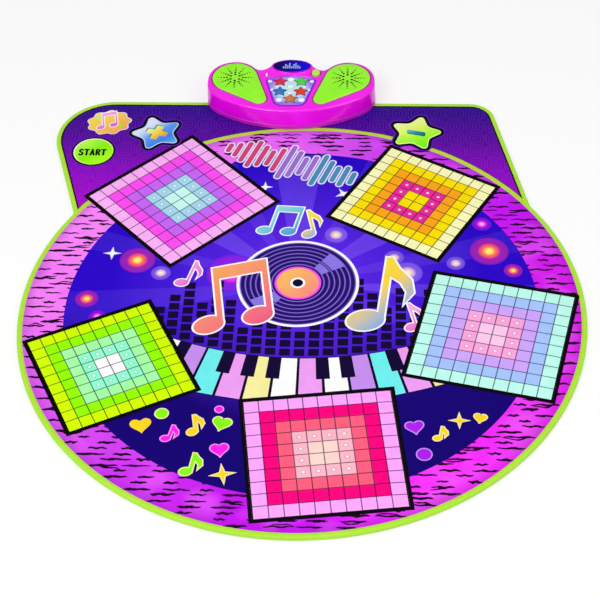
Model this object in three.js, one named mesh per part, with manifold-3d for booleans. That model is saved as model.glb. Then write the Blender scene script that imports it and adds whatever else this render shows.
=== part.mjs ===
// Electronic dance mat with a sound console on its back edge.
// Lengths in millimetres, angles in degrees, +Z up. The origin is on the floor under the centre
// of the mat's round front part, and +Y runs towards the console.

import * as THREE from 'three';
import { mergeVertices } from 'three/addons/utils/BufferGeometryUtils.js';
import Module from 'manifold-3d';

const wasm = await Module();
wasm.setup();

// Clearances
const seatGap = 0.3;            // between rigid pieces that rest on each other
const layerGap = 0.1;           // between the soft layers of the mat
const windowGap = 0.5;          // round a touch panel in its window
const overrun = 2;              // a cutting tool past the face that it opens
const leastMitreShare = 0.3;    // cosine at which an inset outline's corners are blunted

// Outline of the mat
const edgeMargin = 14.1;        // from the outermost corner of the front pads to the edge
const leftCornerShare = -1.067; // where the lobe's sides and back edge would meet, of the radius
const rightCornerShare = 0.7;
const leftCornerRadius = 100;
const rightCornerRadius = 45;
const junctionRadius = 14;      // blend where the lobe leaves the round part
const leftJunctionAngle = 150.4;
const rightJunctionAngle = 33.8;
const frontSteps = 36;          // facets of the outline's arcs
const cornerSteps = 6;
const junctionSteps = 2;

// Layers of the mat
const backingThickness = 1.0;
const foamThickness = 3.3;
const filmThickness = 0.4;
const panelTravel = 1.5;        // of a touch panel under a foot
const squeezedThickness = 0.3;  // what is left of the foam spacer under it
const coverThickness = 0.9;
const bindingWidth = 8;         // how far the edge tape laps onto the mat
const bindingThickness = 0.8;

// Dance pads
const padWidth = 228;           // a full-size pad's printed square
const seamMargin = 1.5;         // the touch panel ends outside the pad's dark frame
const smallPadShare = 0.905;    // the two smaller pads
const padCentreShares = {      // of a full-size pad's width
  back_left: [-0.952, 1.168],
  back_right: [0.803, 1.158],
  right: [1.342, -0.22],
  front: [0.2, -1.313],
  left: [-1.301, -0.555],
};
const backLeftAngle = 43.3;
const backRightAngle = -30;
const rightAngle = -12.9;
const frontAngle = 7.2;
const leftAngle = 26.4;
const smallPads = ['back_right', 'left'];
const padSpacerShare = 0.94;    // perforated foam under a pad
const padSpacerHoleCount = 2;       // holes along a side
const padSpacerHoleShare = 0.72;

// Touch keys of the back lobe, drawn on the same scale as the pads: shares of a pad's width
const startRadiusShare = 0.1623;
const keyStarTipShare = 0.25;   // before the tips are rounded
const keyStarValleyShare = 0.136;
const keyStarTipRoundingShare = 0.0395;
const keyStarValleyRoundingShare = 0.0526;
const keySpacerRadiusShare = 0.114;
const keySpacerHoleShare = 0.0526;
const startCentreShares = [-0.838, 0.848];  // of the mat's radius
const plusCentreShares = [-0.602, 0.963];
const minusCentreShares = [0.409, 0.972];
const plusAngle = 181;
const minusAngle = 4;

// Console housing, in its own frame: x from its middle, y from its front
const consoleOffset = 38.5;     // from the mat's middle to the left
const consoleLap = 6;           // how far its front reaches over the round part
const matOverlap = 76;          // how far the mat's back edge lies behind its front
const lobeMargin = 9.6;         // from a grille to the housing's side
const lobeBackMargin = 15;      // and to the back of its outline
const rearMargin = 24.1;        // from the battery bay to the back of the outline
const consoleTop = 49;
const wall = 2.6;
const seamHeight = 17;          // parting line of the two shells
const draftInset = 1.3;         // how far the upper shell leans in
const topRounding = 4;
const rearClearance = 1;        // floor to the base behind the mat
const lipHeight = 3;            // lip of the base inside the upper shell
const lipThickness = 1.4;

// Half of the housing's outline, from the front round the lobe to the rear pod
const outlineShares = [
  [0, 0], [0.21, 0.015], [0.408, 0.057], [0.58, 0.117], [0.74, 0.196], [0.88, 0.29],
  [0.965, 0.39], [0.998, 0.51], [1, 0.634], [0.98, 0.745], [0.905, 0.863], [0.812, 0.927],
  [0.674, 0.958], [0.563, 0.938], [0.474, 0.882], [0.421, 0.827], [0.372, 0.804], [0.316, 0.824],
  [0.25, 0.889], [0.175, 0.955], [0.09, 0.991],
];
const outlineSteps = 48;

// Rear pod with its oval lens
const podBackMargin = 5;
const podHalfWidth = 37;
const podHalfDepth = 19.5;
const podTop = 51.5;
const podRounding = 1.2;
const lensHalfWidth = 34.8;
const lensHalfDepth = 17.3;
const lensThickness = 1.8;
const lensDepth = 1.2;          // how deep the lens sits in the pod

// Speaker grilles: a teardrop between a large and a small circle
const lobeRadius = 41;
const shoulderGap = 14.5;       // between a grille and the star panel's shoulder
const tailRadius = 14;
const tailGap = 15;             // between a grille's tail and the star panel's foot
const tailSetback = 20;         // of the tail's centre behind the panel's foot
const grilleRise = 0.6;
const grilleFace = 2;
const grilleRim = 2;
const flangeWidth = 2;
const flangeThickness = 1.5;
const fitGap = 0.5;             // round a piece in its opening
const innerRingRadius = 9.5;
const innerRingHoleCount = 6;
const raySpacing = 5.3;
const firstRayRadius = 15.5;
const rayRingCount = 4;
const rayCount = 12;
const innerHoleRadius = 2.2;
const holeTaper = 0.36;         // radius lost from ring to ring

// Loudspeakers
const speakerMargin = 7.2;      // the speaker is smaller than the grille's large circle by this
const speakerDepth = 22;
const speakerFacetCount = 12;   // round the basket, the cone and the grille's collar
const magnetRadius = 17;
const magnetHeight = 8;
const speakerLip = 3.8;
const coneThickness = 0.8;
const coilRadius = 7;
const collarThickness = 2;
const collarDepth = 6;

// Star panel and buttons
const panelGap = 4.5;           // between the panel and the rear pod
const panelCrown = 9.5;         // from the panel's shoulders to its top
const panelShoulderX = 47;
const panelShoulderRounding = 9;
const panelTopRounding = 60;
const panelFootX = 27;
const panelFootY = 17;
const panelFootRounding = 12;
const panelRise = 0.4;
const starTip = 13.4;
const starValley = 6.4;
const starGrow = 1.4;           // flange under the star
const starRise = 2.4;
const buttonTravel = 1.2;
const stemRadius = 3.5;
const starCentreShares = {     // of the panel's shoulder x and top y
  crimson: [-0.41, 0.814],
  green: [0.41, 0.814],
  blue: [-0.4, 0.545],
  red: [0.4, 0.545],
  orange: [0.02, 0.345],
};
const powerGap = 7.5;           // beside the pod
const powerSetback = 17.7;      // in front of the pod's middle
const powerHalfWidth = 7.6;
const powerHalfDepth = 9;
const powerRise = 3;
const lightGap = 8;
const lightSetback = 22.5;
const lightHalfWidth = 1.5;
const lightHalfDepth = 4.5;
const lightLength = 9;

// Circuit board and rubber keypad
const boardSideMargin = 3.5;    // beyond the power button's middle
const boardFrontMargin = 3;     // behind the panel's foot
const boardBackMargin = 7.2;    // behind the power button's middle
const boardBottom = 33.3;
const boardThickness = 1.6;
const keypadThickness = 1;
const domeHeight = 1;
const domeRadius = 4.5;
const keypadMargin = 2;
const chipSide = 14;
const chipHeight = 2.2;
const connectorWidth = 46;
const connectorDepth = 6;
const connectorHeight = 6.3;
const tailHalfWidth = 20;
const tailMargin = 16;          // from the contact film's tail to the mat's back edge

// Screws, bosses and feet
const shankRadius = 1.5;
const shankHole = 1.8;
const headRadius = 3.2;
const headHeight = 2;
const screwTip = 38;
const bossRadius = 4;
const bossTop = 30;
const pillarRadius = 3;
const pillarInset = 5;
const frontBossMargin = 18;     // in front of the grille's large circle
const rearBossGap = 20.2;       // beside the pod
const rearBossSetback = 15.5;
const clampScrewX = 85;
const clampEnd = 15;            // from a clamp screw to the plate's end
const clampFront = 18;
const clampBack = 44;
const clampBottom = 0.2;
const clampThickness = 1.7;
const clampBossTop = 24;
const underLobeInset = 2.5;     // the feet and front screws stand this far inside the grilles
const footSetback = 21;         // of a foot behind the grille's middle
const footRadius = 8;
const footDepth = 1.2;

// Batteries and their door
const cellRadius = 7.25;
const cellLength = 49.2;
const nubRadius = 2.75;
const nubHeight = 1.3;
const cellCount = 3;
const cellGap = 0.4;
const contactSpace = 5;
const contactThickness = 0.5;
const contactHeight = 12;
const bayWall = 2;
const bayTop = 18;
const doorLedge = 3;            // how far the door's tongues reach past its flush face
const doorLedgeHeight = 1.2;
const doorGap = 0.4;
const gripGrooves = 4;
const gripPitch = 4;
const gripHalfWidth = 10;
const gripDepth = 0.6;

// Audio socket in the back wall of the left lobe
const socketOffset = 1.5;       // outside the left grille's middle
const socketInset = 10;         // of its seat from the back of the outline
const socketHeight = 28;
const socketRadius = 4;
const socketBore = 1.75;
const socketBoreDepth = 14;
const socketBody = 12;
const socketBush = 9;

// The pads' places, and what follows from them for the mat
const padAngles = {
  back_left: backLeftAngle, back_right: backRightAngle, right: rightAngle, front: frontAngle,
  left: leftAngle,
};
const pads = Object.entries(padCentreShares).map(([name, [x, y]]) => {
  const side = smallPads.includes(name) ? padWidth * smallPadShare : padWidth;
  return { name, side, x: x * padWidth, y: y * padWidth, turn: padAngles[name] };
});
const padReach = Math.max(...pads.filter((pad) => pad.y < 0).flatMap((pad) => (
  padSquare(pad, pad.side + 2 * seamMargin).map((corner) => corner.length()))));
const matRadius = padReach + edgeMargin;
const leftCornerX = leftCornerShare * matRadius;
const rightCornerX = rightCornerShare * matRadius;
const startRadius = startRadiusShare * padWidth;
const consoleX = -consoleOffset;
const consoleFront = matRadius - consoleLap;
const backEdge = consoleFront + matOverlap;

// The console's depth follows from the battery bay behind the step over the mat's edge
const bayHalfWidth = cellLength / 2 + nubHeight + contactSpace;
const bayDepth = cellCount * 2 * cellRadius + (cellCount + 1) * cellGap;
const stepY = matOverlap + 2 * seatGap;
const bayFront = stepY + 2 * wall;
const bayBack = bayFront + bayDepth;
const consoleDepth = bayBack + bayWall + rearMargin;
const podY = consoleDepth - podBackMargin - podHalfDepth;
const panelTopY = podY - podHalfDepth - panelGap;
const panelShoulderY = panelTopY - panelCrown;
const lobeX = panelShoulderX + shoulderGap + lobeRadius;
const lobeY = consoleDepth - lobeBackMargin - lobeRadius;
const consoleHalfWidth = lobeX + lobeRadius + lobeMargin;
const tailX = panelFootX + tailGap + tailRadius;
const tailY = panelFootY + tailSetback;
const speakerRadius = lobeRadius - speakerMargin;
const powerX = podHalfWidth + powerGap;
const powerY = podY - powerSetback;
const lightX = -podHalfWidth - lightGap;
const lightY = podY - lightSetback;
const boardHalfWidth = powerX + boardSideMargin;
const boardFront = panelFootY + boardFrontMargin;
const boardBack = powerY + boardBackMargin;
const tailLine = matOverlap - tailMargin;
const frontBossX = lobeX - underLobeInset;
const frontBossY = lobeY - lobeRadius - frontBossMargin;
const rearBossX = podHalfWidth + rearBossGap;
const rearBossY = podY - rearBossSetback;
const clampHalfLength = clampScrewX + clampEnd;
const footX = lobeX - underLobeInset;
const footY = lobeY + footSetback;
const socketX = -lobeX - socketOffset;
const socketBack = consoleDepth - socketInset;

// Heights that follow from the layers
const foamBottom = backingThickness + layerGap;
const foamTop = foamBottom + foamThickness;
const filmBottom = foamTop + layerGap;
const filmTop = filmBottom + filmThickness;
const spacerThickness = panelTravel + squeezedThickness;
const spacerBottom = filmTop + layerGap;
const spacerTop = spacerBottom + spacerThickness;
const coverBottom = spacerTop + layerGap;
const coverTop = coverBottom + coverThickness;
const bindingTop = coverTop + layerGap + bindingThickness;
const layerInset = bindingThickness + seatGap;
const baseUnderside = coverTop + seatGap;
const baseOverBinding = bindingTop + seatGap;
const ceiling = consoleTop - wall;
const flangeTop = ceiling - seatGap;
const flangeBottom = flangeTop - flangeThickness;
const boardTop = boardBottom + boardThickness;
const keypadBottom = boardTop + seatGap;
const domeTop = keypadBottom + keypadThickness + domeHeight;
const stemEnd = domeTop + buttonTravel + seatGap;
const frontFloor = baseUnderside + wall;
const rearFloor = rearClearance + wall;

const colours = {
  lime: '#a8dc32', violet: '#4a00a0', black: '#101014', backing: '#2a2a30', foam: '#e8e8e4',
  film: '#c8d0d8', pink: '#ff5cf8', yellow: '#ffe000', sky: '#b0ccff', red: '#ff3070',
  green: '#98ff00', key: '#8ee000', plus: '#58a8f0', minus: '#9ae820', housing: '#f030e8',
  base: '#c818c0', grille: '#98ff28', lens: '#181060', panel: '#d8c8f8', board: '#1c6b3a',
  rubber: '#b8b8b8', steel: '#b8bcc2', cell: '#d0a040', cone: '#26262a', white: '#f4f4f4',
  crimson: '#e0105a', starGreen: '#40d838', starBlue: '#2868b8', starRed: '#d82818',
  orange: '#d07838',
};

// A named piece with its own material
function piece(name, geometry, colour, roughness = 0.5, metalness = 0) {
  const material = new THREE.MeshStandardMaterial({ color: colour, roughness, metalness });
  const mesh = new THREE.Mesh(geometry, material);
  mesh.name = name;
  return mesh;
}

// Points on an arc, both ends included
function arc(cx, cy, radius, from, to, steps) {
  const points = [];
  for (let i = 0; i <= steps; i += 1) {
    const angle = THREE.MathUtils.degToRad(from + ((to - from) * i) / steps);
    points.push(new THREE.Vector2(cx + radius * Math.cos(angle), cy + radius * Math.sin(angle)));
  }
  return points;
}

function circle(cx, cy, radius, sides) {
  return arc(cx, cy, radius, 0, 360, sides).slice(0, sides);
}

function ellipse(cx, cy, halfWidth, halfDepth, sides) {
  return circle(0, 0, 1, sides)
    .map((p) => new THREE.Vector2(cx + p.x * halfWidth, cy + p.y * halfDepth));
}

function rectangle(x0, y0, x1, y1) {
  return [[x0, y0], [x1, y0], [x1, y1], [x0, y1]].map(([x, y]) => new THREE.Vector2(x, y));
}

// The arc that rounds one corner of a polygon
function roundCorner(before, corner, after, radius, steps) {
  const u = before.clone().sub(corner).normalize();
  const v = after.clone().sub(corner).normalize();
  const half = Math.acos(THREE.MathUtils.clamp(u.dot(v), -1, 1)) / 2;
  const middle = u.clone().add(v).normalize();
  const centre = corner.clone().addScaledVector(middle, radius / Math.sin(half));
  const reach = radius / Math.tan(half);
  const first = corner.clone().addScaledVector(u, reach).sub(centre).angle();
  const last = corner.clone().addScaledVector(v, reach).sub(centre).angle();
  const sweep = THREE.MathUtils.euclideanModulo(last - first + Math.PI, 2 * Math.PI) - Math.PI;
  const from = THREE.MathUtils.radToDeg(first);
  return arc(centre.x, centre.y, radius, from, from + THREE.MathUtils.radToDeg(sweep), steps);
}

// A polygon whose corners [x, y, radius] are rounded
function roundedPolygon(corners, steps) {
  const at = corners.map(([x, y]) => new THREE.Vector2(x, y));
  return corners.flatMap(([, , radius], i) => {
    const before = at[(i + at.length - 1) % at.length];
    const after = at[(i + 1) % at.length];
    return radius > 0 ? roundCorner(before, at[i], after, radius, steps) : [at[i]];
  });
}

// A five-pointed star with rounded tips and valleys
function star(tip, valley, tipRounding, valleyRounding, steps) {
  const tips = 5;
  const corners = [];
  for (let i = 0; i < 2 * tips; i += 1) {
    const angle = (i * Math.PI) / tips;
    const radius = i % 2 ? valley : tip;
    const rounding = i % 2 ? valleyRounding : tipRounding;
    corners.push([radius * Math.cos(angle), radius * Math.sin(angle), rounding]);
  }
  return roundedPolygon(corners, steps);
}

// Points turned about the origin and then moved
function place(points, x, y, turn = 0) {
  const angle = THREE.MathUtils.degToRad(turn);
  const centre = new THREE.Vector2();
  return points.map((p) => p.clone().rotateAround(centre, angle).add(new THREE.Vector2(x, y)));
}

// A closed outline, anticlockwise, moved inwards by a distance
function inset(points, distance) {
  return points.map((p, i) => {
    const before = points[(i + points.length - 1) % points.length];
    const after = points[(i + 1) % points.length];
    const a = p.clone().sub(before).normalize();
    const b = after.clone().sub(p).normalize();
    const normal = new THREE.Vector2(-a.y - b.y, a.x + b.x).normalize();
    const stretch = Math.max(normal.dot(new THREE.Vector2(-a.y, a.x)), leastMitreShare);
    return p.clone().addScaledVector(normal, distance / stretch);
  });
}

function extrude(points, bottom, top, holes = []) {
  const shape = new THREE.Shape(points);
  shape.holes = holes.map((hole) => new THREE.Path(hole));
  const geometry = new THREE.ExtrudeGeometry(shape, { depth: top - bottom, bevelEnabled: false });
  return geometry.translate(0, 0, bottom);
}

function box(x0, y0, z0, x1, y1, z1) {
  return extrude(rectangle(x0, y0, x1, y1), z0, z1);
}

// A solid of revolution about Z, from [radius, height] points that run upwards on the outside
function turned(profile, sides) {
  const points = profile.map(([r, z]) => new THREE.Vector2(r, z));
  return new THREE.LatheGeometry(points, sides).rotateX(Math.PI / 2);
}

function rod(x, y, radius, bottom, top, sides) {
  return extrude(circle(x, y, radius, sides), bottom, top);
}

// A solid through outlines with equal counts of points, each at its own height
function loft(rings) {
  const count = rings[0].points.length;
  const positions = rings.flatMap(({ points, z }) => points.flatMap((p) => [p.x, p.y, z]));
  const faces = [];
  for (let r = 0; r + 1 < rings.length; r += 1) {
    for (let i = 0; i < count; i += 1) {
      const a = r * count + i;
      const b = r * count + ((i + 1) % count);
      faces.push(a, b, b + count, a, b + count, a + count);
    }
  }
  const top = (rings.length - 1) * count;
  for (const [a, b, c] of THREE.ShapeUtils.triangulateShape(rings[0].points, [])) {
    faces.push(a, c, b);
  }
  for (const [a, b, c] of THREE.ShapeUtils.triangulateShape(rings.at(-1).points, [])) {
    faces.push(top + a, top + b, top + c);
  }
  return indexed(positions, faces);
}

function indexed(positions, faces) {
  const geometry = new THREE.BufferGeometry();
  geometry.setAttribute('position', new THREE.Float32BufferAttribute(positions, 3));
  geometry.setIndex(faces);
  return geometry;
}

// Joins and cuts
function solid(geometry) {
  const plain = geometry.clone();
  plain.deleteAttribute('normal');
  plain.deleteAttribute('uv');
  const merged = mergeVertices(plain);
  return new wasm.Manifold(new wasm.Mesh({
    numProp: 3,
    vertProperties: new Float32Array(merged.attributes.position.array),
    triVerts: new Uint32Array(merged.index.array),
  }));
}

function shaped(first, added = [], removed = []) {
  let body = solid(first);
  for (const geometry of added) body = body.add(solid(geometry));
  for (const geometry of removed) body = body.subtract(solid(geometry));
  const mesh = body.getMesh();
  return indexed(Array.from(mesh.vertProperties), Array.from(mesh.triVerts));
}

// Only the part of a solid that lies in another
function common(first, second) {
  const mesh = solid(first).intersect(solid(second)).getMesh();
  return indexed(Array.from(mesh.vertProperties), Array.from(mesh.triVerts));
}

// The mat's outline, anticlockwise from the right junction round the lobe and the front
function matOutline() {
  const onCircle = (angle) => arc(0, 0, matRadius, angle, angle, 1)[0];
  const tangent = (angle, along) => {
    const p = onCircle(angle);
    return new THREE.Vector2(p.x - along * p.y, p.y + along * p.x);
  };
  const right = onCircle(rightJunctionAngle);
  const left = onCircle(leftJunctionAngle);
  const rightCorner = new THREE.Vector2(rightCornerX, backEdge);
  const leftCorner = new THREE.Vector2(leftCornerX, backEdge);
  const step = THREE.MathUtils.radToDeg(junctionRadius / matRadius);
  return [
    ...roundCorner(tangent(rightJunctionAngle, -1), right, rightCorner, junctionRadius,
      junctionSteps),
    ...roundCorner(right, rightCorner, leftCorner, rightCornerRadius, cornerSteps),
    ...roundCorner(rightCorner, leftCorner, left, leftCornerRadius, cornerSteps),
    ...roundCorner(leftCorner, left, tangent(leftJunctionAngle, 1), junctionRadius,
      junctionSteps),
    ...arc(0, 0, matRadius, leftJunctionAngle + step, rightJunctionAngle + 360 - step,
      frontSteps),
  ];
}

const outline = matOutline();

// The places that pads and keys take in the mat
function padSquare(pad, side) {
  return place(rectangle(-side / 2, -side / 2, side / 2, side / 2), pad.x, pad.y, pad.turn);
}

const keyStar = (grow) => inset(
  star(keyStarTipShare * padWidth, keyStarValleyShare * padWidth, keyStarTipRoundingShare * padWidth,
    keyStarValleyRoundingShare * padWidth, 2), -grow);
const keys = [
  { name: 'start', shares: startCentreShares, turn: 0, shape: (g) => circle(0, 0, startRadius + g, 24) },
  { name: 'plus', shares: plusCentreShares, turn: plusAngle, shape: keyStar },
  { name: 'minus', shares: minusCentreShares, turn: minusAngle, shape: keyStar },
].map((key) => ({ ...key, x: key.shares[0] * matRadius, y: key.shares[1] * matRadius }));

function keyShape(key, grow) {
  return place(key.shape(grow), key.x, key.y, key.turn);
}

const windows = [
  ...pads.map((pad) => padSquare(pad, pad.side + 2 * (seamMargin + windowGap))),
  ...keys.map((key) => keyShape(key, windowGap)),
];

// Holes that the console's clamp screws and the film's tail make in the layers
const clampScrews = [-1, 1].map((side) => ({
  x: consoleX + side * clampScrewX,
  y: consoleFront + (clampFront + clampBack) / 2,
}));
const screwHoles = clampScrews.map(({ x, y }) => circle(x, y, shankHole + seatGap, 10));
const tailSlotHalf = tailHalfWidth + 2 * seatGap;
const tailSlot = rectangle(consoleX - tailSlotHalf, consoleFront + tailLine - 2 * seatGap,
  consoleX + tailSlotHalf, consoleFront + tailLine + filmThickness + 2 * seatGap);
const clampPocket = rectangle(consoleX - clampHalfLength - seatGap, consoleFront + clampFront - seatGap,
  consoleX + clampHalfLength + seatGap, consoleFront + clampBack + seatGap);

function matLayers() {
  const layer = inset(outline, layerInset);
  const backing = inset(outline, bindingWidth + seatGap);
  const pocketTop = clampBottom + clampThickness + seatGap;
  const foam = shaped(extrude(layer, foamBottom, foamTop, screwHoles), [],
    [extrude(clampPocket, foamBottom - overrun, pocketTop)]);
  const tailTop = boardBottom - connectorHeight - seatGap;
  const tail = box(consoleX - tailHalfWidth, consoleFront + tailLine, filmBottom,
    consoleX + tailHalfWidth, consoleFront + tailLine + filmThickness, tailTop);
  const film = shaped(extrude(layer, filmBottom, filmTop, screwHoles), [tail]);
  const openings = [...windows, ...screwHoles, tailSlot];
  return [
    piece('bottom_sheet', extrude(backing, 0, backingThickness, [clampPocket]), colours.backing, 0.9),
    piece('foam_core', foam, colours.foam, 0.95),
    piece('contact_film', film, colours.film, 0.4),
    piece('spacer_sheet', extrude(layer, spacerBottom, spacerTop, openings), colours.foam, 0.95),
    piece('cover_sheet', extrude(layer, coverBottom, coverTop, openings), colours.violet, 0.45),
    piece('edge_binding', bindingTape(), colours.lime, 0.6),
  ];
}

// Tape folded round the edge: a U-shaped section that follows the outline
function bindingTape() {
  const section = [
    [0, 0], [bindingWidth, 0], [bindingWidth, bindingThickness], [bindingThickness, bindingThickness],
    [bindingThickness, bindingTop - bindingThickness], [bindingWidth, bindingTop - bindingThickness],
    [bindingWidth, bindingTop], [0, bindingTop],
  ];
  const count = outline.length;
  const positions = section.flatMap(([depth, z]) => (
    inset(outline, depth).flatMap((p) => [p.x, p.y, z])));
  const faces = [];
  section.forEach((_, s) => {
    const next = (s + 1) % section.length;
    for (let i = 0; i < count; i += 1) {
      const j = (i + 1) % count;
      faces.push(s * count + i, next * count + i, next * count + j);
      faces.push(s * count + i, next * count + j, s * count + j);
    }
  });
  return indexed(positions, faces);
}

const padColours = {
  back_left: colours.pink, back_right: colours.yellow, right: colours.sky, front: colours.red,
  left: colours.green,
};

function padPieces(pad) {
  const panel = extrude(padSquare(pad, pad.side + 2 * seamMargin), coverBottom, coverTop);
  const foamSide = pad.side * padSpacerShare;
  const pitch = foamSide / padSpacerHoleCount;
  const reach = (pitch * padSpacerHoleShare) / 2;
  const holes = [];
  for (let row = 0; row < padSpacerHoleCount; row += 1) {
    for (let column = 0; column < padSpacerHoleCount; column += 1) {
      const x = (column + 0.5) * pitch - foamSide / 2;
      const y = (row + 0.5) * pitch - foamSide / 2;
      holes.push(place(circle(x, y, reach, 6), pad.x, pad.y, pad.turn));
    }
  }
  const foam = extrude(padSquare(pad, foamSide), spacerBottom, spacerTop, holes);
  return [
    piece(`${pad.name}_pad`, panel, padColours[pad.name], 0.4),
    piece(`${pad.name}_spacer`, foam, colours.foam, 0.95),
  ];
}

const keyColours = { start: colours.key, plus: colours.plus, minus: colours.minus };

function keyPieces(key) {
  const panel = extrude(keyShape(key, 0), coverBottom, coverTop);
  const hole = circle(key.x, key.y, keySpacerHoleShare * padWidth, 8);
  const ring = circle(key.x, key.y, keySpacerRadiusShare * padWidth, 16);
  const foam = extrude(ring, spacerBottom, spacerTop, [hole]);
  return [
    piece(`${key.name}_key`, panel, keyColours[key.name], 0.4),
    piece(`${key.name}_spacer`, foam, colours.foam, 0.95),
  ];
}

// The housing's outline in the console's own frame, moved inwards by a distance
function housingOutline(distance = 0) {
  const right = outlineShares.map(([x, y]) => [x * consoleHalfWidth, y * consoleDepth]);
  const left = right.slice(1).reverse().map(([x, y]) => [-x, y]);
  const points = [...right, [0, consoleDepth], ...left].map(([x, y]) => new THREE.Vector3(x, y, 0));
  const curve = new THREE.CatmullRomCurve3(points, true, 'centripetal');
  const samples = curve.getPoints(outlineSteps).slice(0, outlineSteps);
  return inset(samples.map((p) => new THREE.Vector2(p.x, p.y)), distance);
}

// Heights and insets of a rounded upper edge
function roundedEdge(start, top, radius, steps) {
  return Array.from({ length: steps + 1 }, (_, i) => {
    const angle = (i * Math.PI) / (2 * steps);
    return [start + radius * (1 - Math.cos(angle)), top - radius * (1 - Math.sin(angle))];
  });
}

// The upper shell's skin; the outside has a rounded edge and the inside a square one
function housingSkin(depth, bottom, top, rounding) {
  const start = depth + draftInset;
  const edge = rounding > 0 ? roundedEdge(start, top, rounding, 2) : [[start, top]];
  return loft([[depth, bottom], ...edge].map(([d, z]) => ({ points: housingOutline(d), z })));
}

function podSkin(depth, bottom, top, rounding) {
  const edge = rounding > 0 ? roundedEdge(depth, top, rounding, 2) : [[depth, top]];
  return loft([[depth, bottom], ...edge].map(([d, z]) => (
    { points: ellipse(0, podY, podHalfWidth - d, podHalfDepth - d, 24), z })));
}

// A teardrop round the large and the small circle of one grille; side is -1 or 1
function teardrop(side, grow) {
  const big = new THREE.Vector2(lobeX, lobeY);
  const small = new THREE.Vector2(tailX, tailY);
  const along = THREE.MathUtils.radToDeg(small.clone().sub(big).angle());
  const reach = (lobeRadius - tailRadius) / small.distanceTo(big);
  const spread = THREE.MathUtils.radToDeg(Math.acos(reach));
  const points = [
    ...arc(big.x, big.y, lobeRadius + grow, along + spread, along + 360 - spread, 14),
    ...arc(small.x, small.y, tailRadius + grow, along - spread, along + spread, 3),
  ];
  return side > 0 ? points : points.map((p) => new THREE.Vector2(-p.x, p.y)).reverse();
}

function starPanelOutline(grow) {
  const corners = [
    [panelFootX, panelFootY, panelFootRounding], [panelShoulderX, panelShoulderY, panelShoulderRounding],
    [0, panelTopY, panelTopRounding], [-panelShoulderX, panelShoulderY, panelShoulderRounding],
    [-panelFootX, panelFootY, panelFootRounding],
  ];
  return inset(roundedPolygon(corners, 3), -grow);
}

function lightOutline(grow) {
  const x = lightHalfWidth + grow;
  const y = lightHalfDepth + grow;
  return place(roundedPolygon([[-x, -y, x / 2], [x, -y, x / 2], [x, y, x / 2], [-x, y, x / 2]], 2),
    lightX, lightY);
}

const powerOutline = (grow) => ellipse(powerX, powerY, powerHalfWidth + grow, powerHalfDepth + grow, 16);

const bosses = [
  { name: 'front_left', x: -frontBossX, y: frontBossY, floor: frontFloor, underside: baseUnderside },
  { name: 'front_right', x: frontBossX, y: frontBossY, floor: frontFloor, underside: baseUnderside },
  { name: 'rear_left', x: -rearBossX, y: rearBossY, floor: rearFloor, underside: rearClearance },
  { name: 'rear_right', x: rearBossX, y: rearBossY, floor: rearFloor, underside: rearClearance },
];

function consoleTopShell() {
  const bottom = seamHeight + seatGap;
  const outside = shaped(housingSkin(0, bottom, consoleTop, topRounding),
    [podSkin(0, bottom, podTop, podRounding)]);
  const inside = shaped(housingSkin(wall, bottom - overrun, ceiling, 0),
    [podSkin(wall, bottom - overrun, podTop - wall - lensDepth, 0)]);
  const posts = bosses.map(({ x, y }) => (
    rod(x, y, bossRadius, bossTop + seatGap, ceiling + wall / 2, 8)));
  const drills = bosses.map(({ x, y }) => rod(x, y, shankHole, bottom, screwTip + seatGap, 6));
  const socketHole = rod(0, 0, socketRadius + seatGap, 0, socketBush + overrun, 12)
    .rotateX(-Math.PI / 2).translate(socketX, socketBack - socketBush, socketHeight);
  const openings = [
    teardrop(-1, fitGap), teardrop(1, fitGap), starPanelOutline(fitGap), powerOutline(fitGap),
    lightOutline(fitGap),
  ].map((points) => extrude(points, ceiling - overrun / 2, consoleTop + overrun));
  const lensRecess = extrude(ellipse(0, podY, lensHalfWidth + fitGap, lensHalfDepth + fitGap, 24),
    podTop - lensDepth, podTop + overrun);
  const hollow = shaped(outside, [], [inside]);
  const shell = shaped(hollow, posts, [...openings, ...drills, lensRecess, socketHole]);
  return piece('console_top', shell, colours.housing, 0.3);
}

// The plain outer body of the base, without hollow or openings
function baseBody(depth, bottom, top) {
  const points = housingOutline(depth);
  return loft([{ points, z: bottom }, { points, z: top }]);
}

const pillars = [
  { x: -(boardHalfWidth - pillarInset), y: boardFront + pillarInset, floor: frontFloor },
  { x: boardHalfWidth - pillarInset, y: boardFront + pillarInset, floor: frontFloor },
  { x: -(boardHalfWidth - pillarInset), y: boardBack - pillarInset, floor: rearFloor },
  { x: boardHalfWidth - pillarInset, y: boardBack - pillarInset, floor: rearFloor },
];

const doorTop = rearFloor - seatGap;
const doorFlushHalf = bayHalfWidth - doorLedge;

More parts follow.
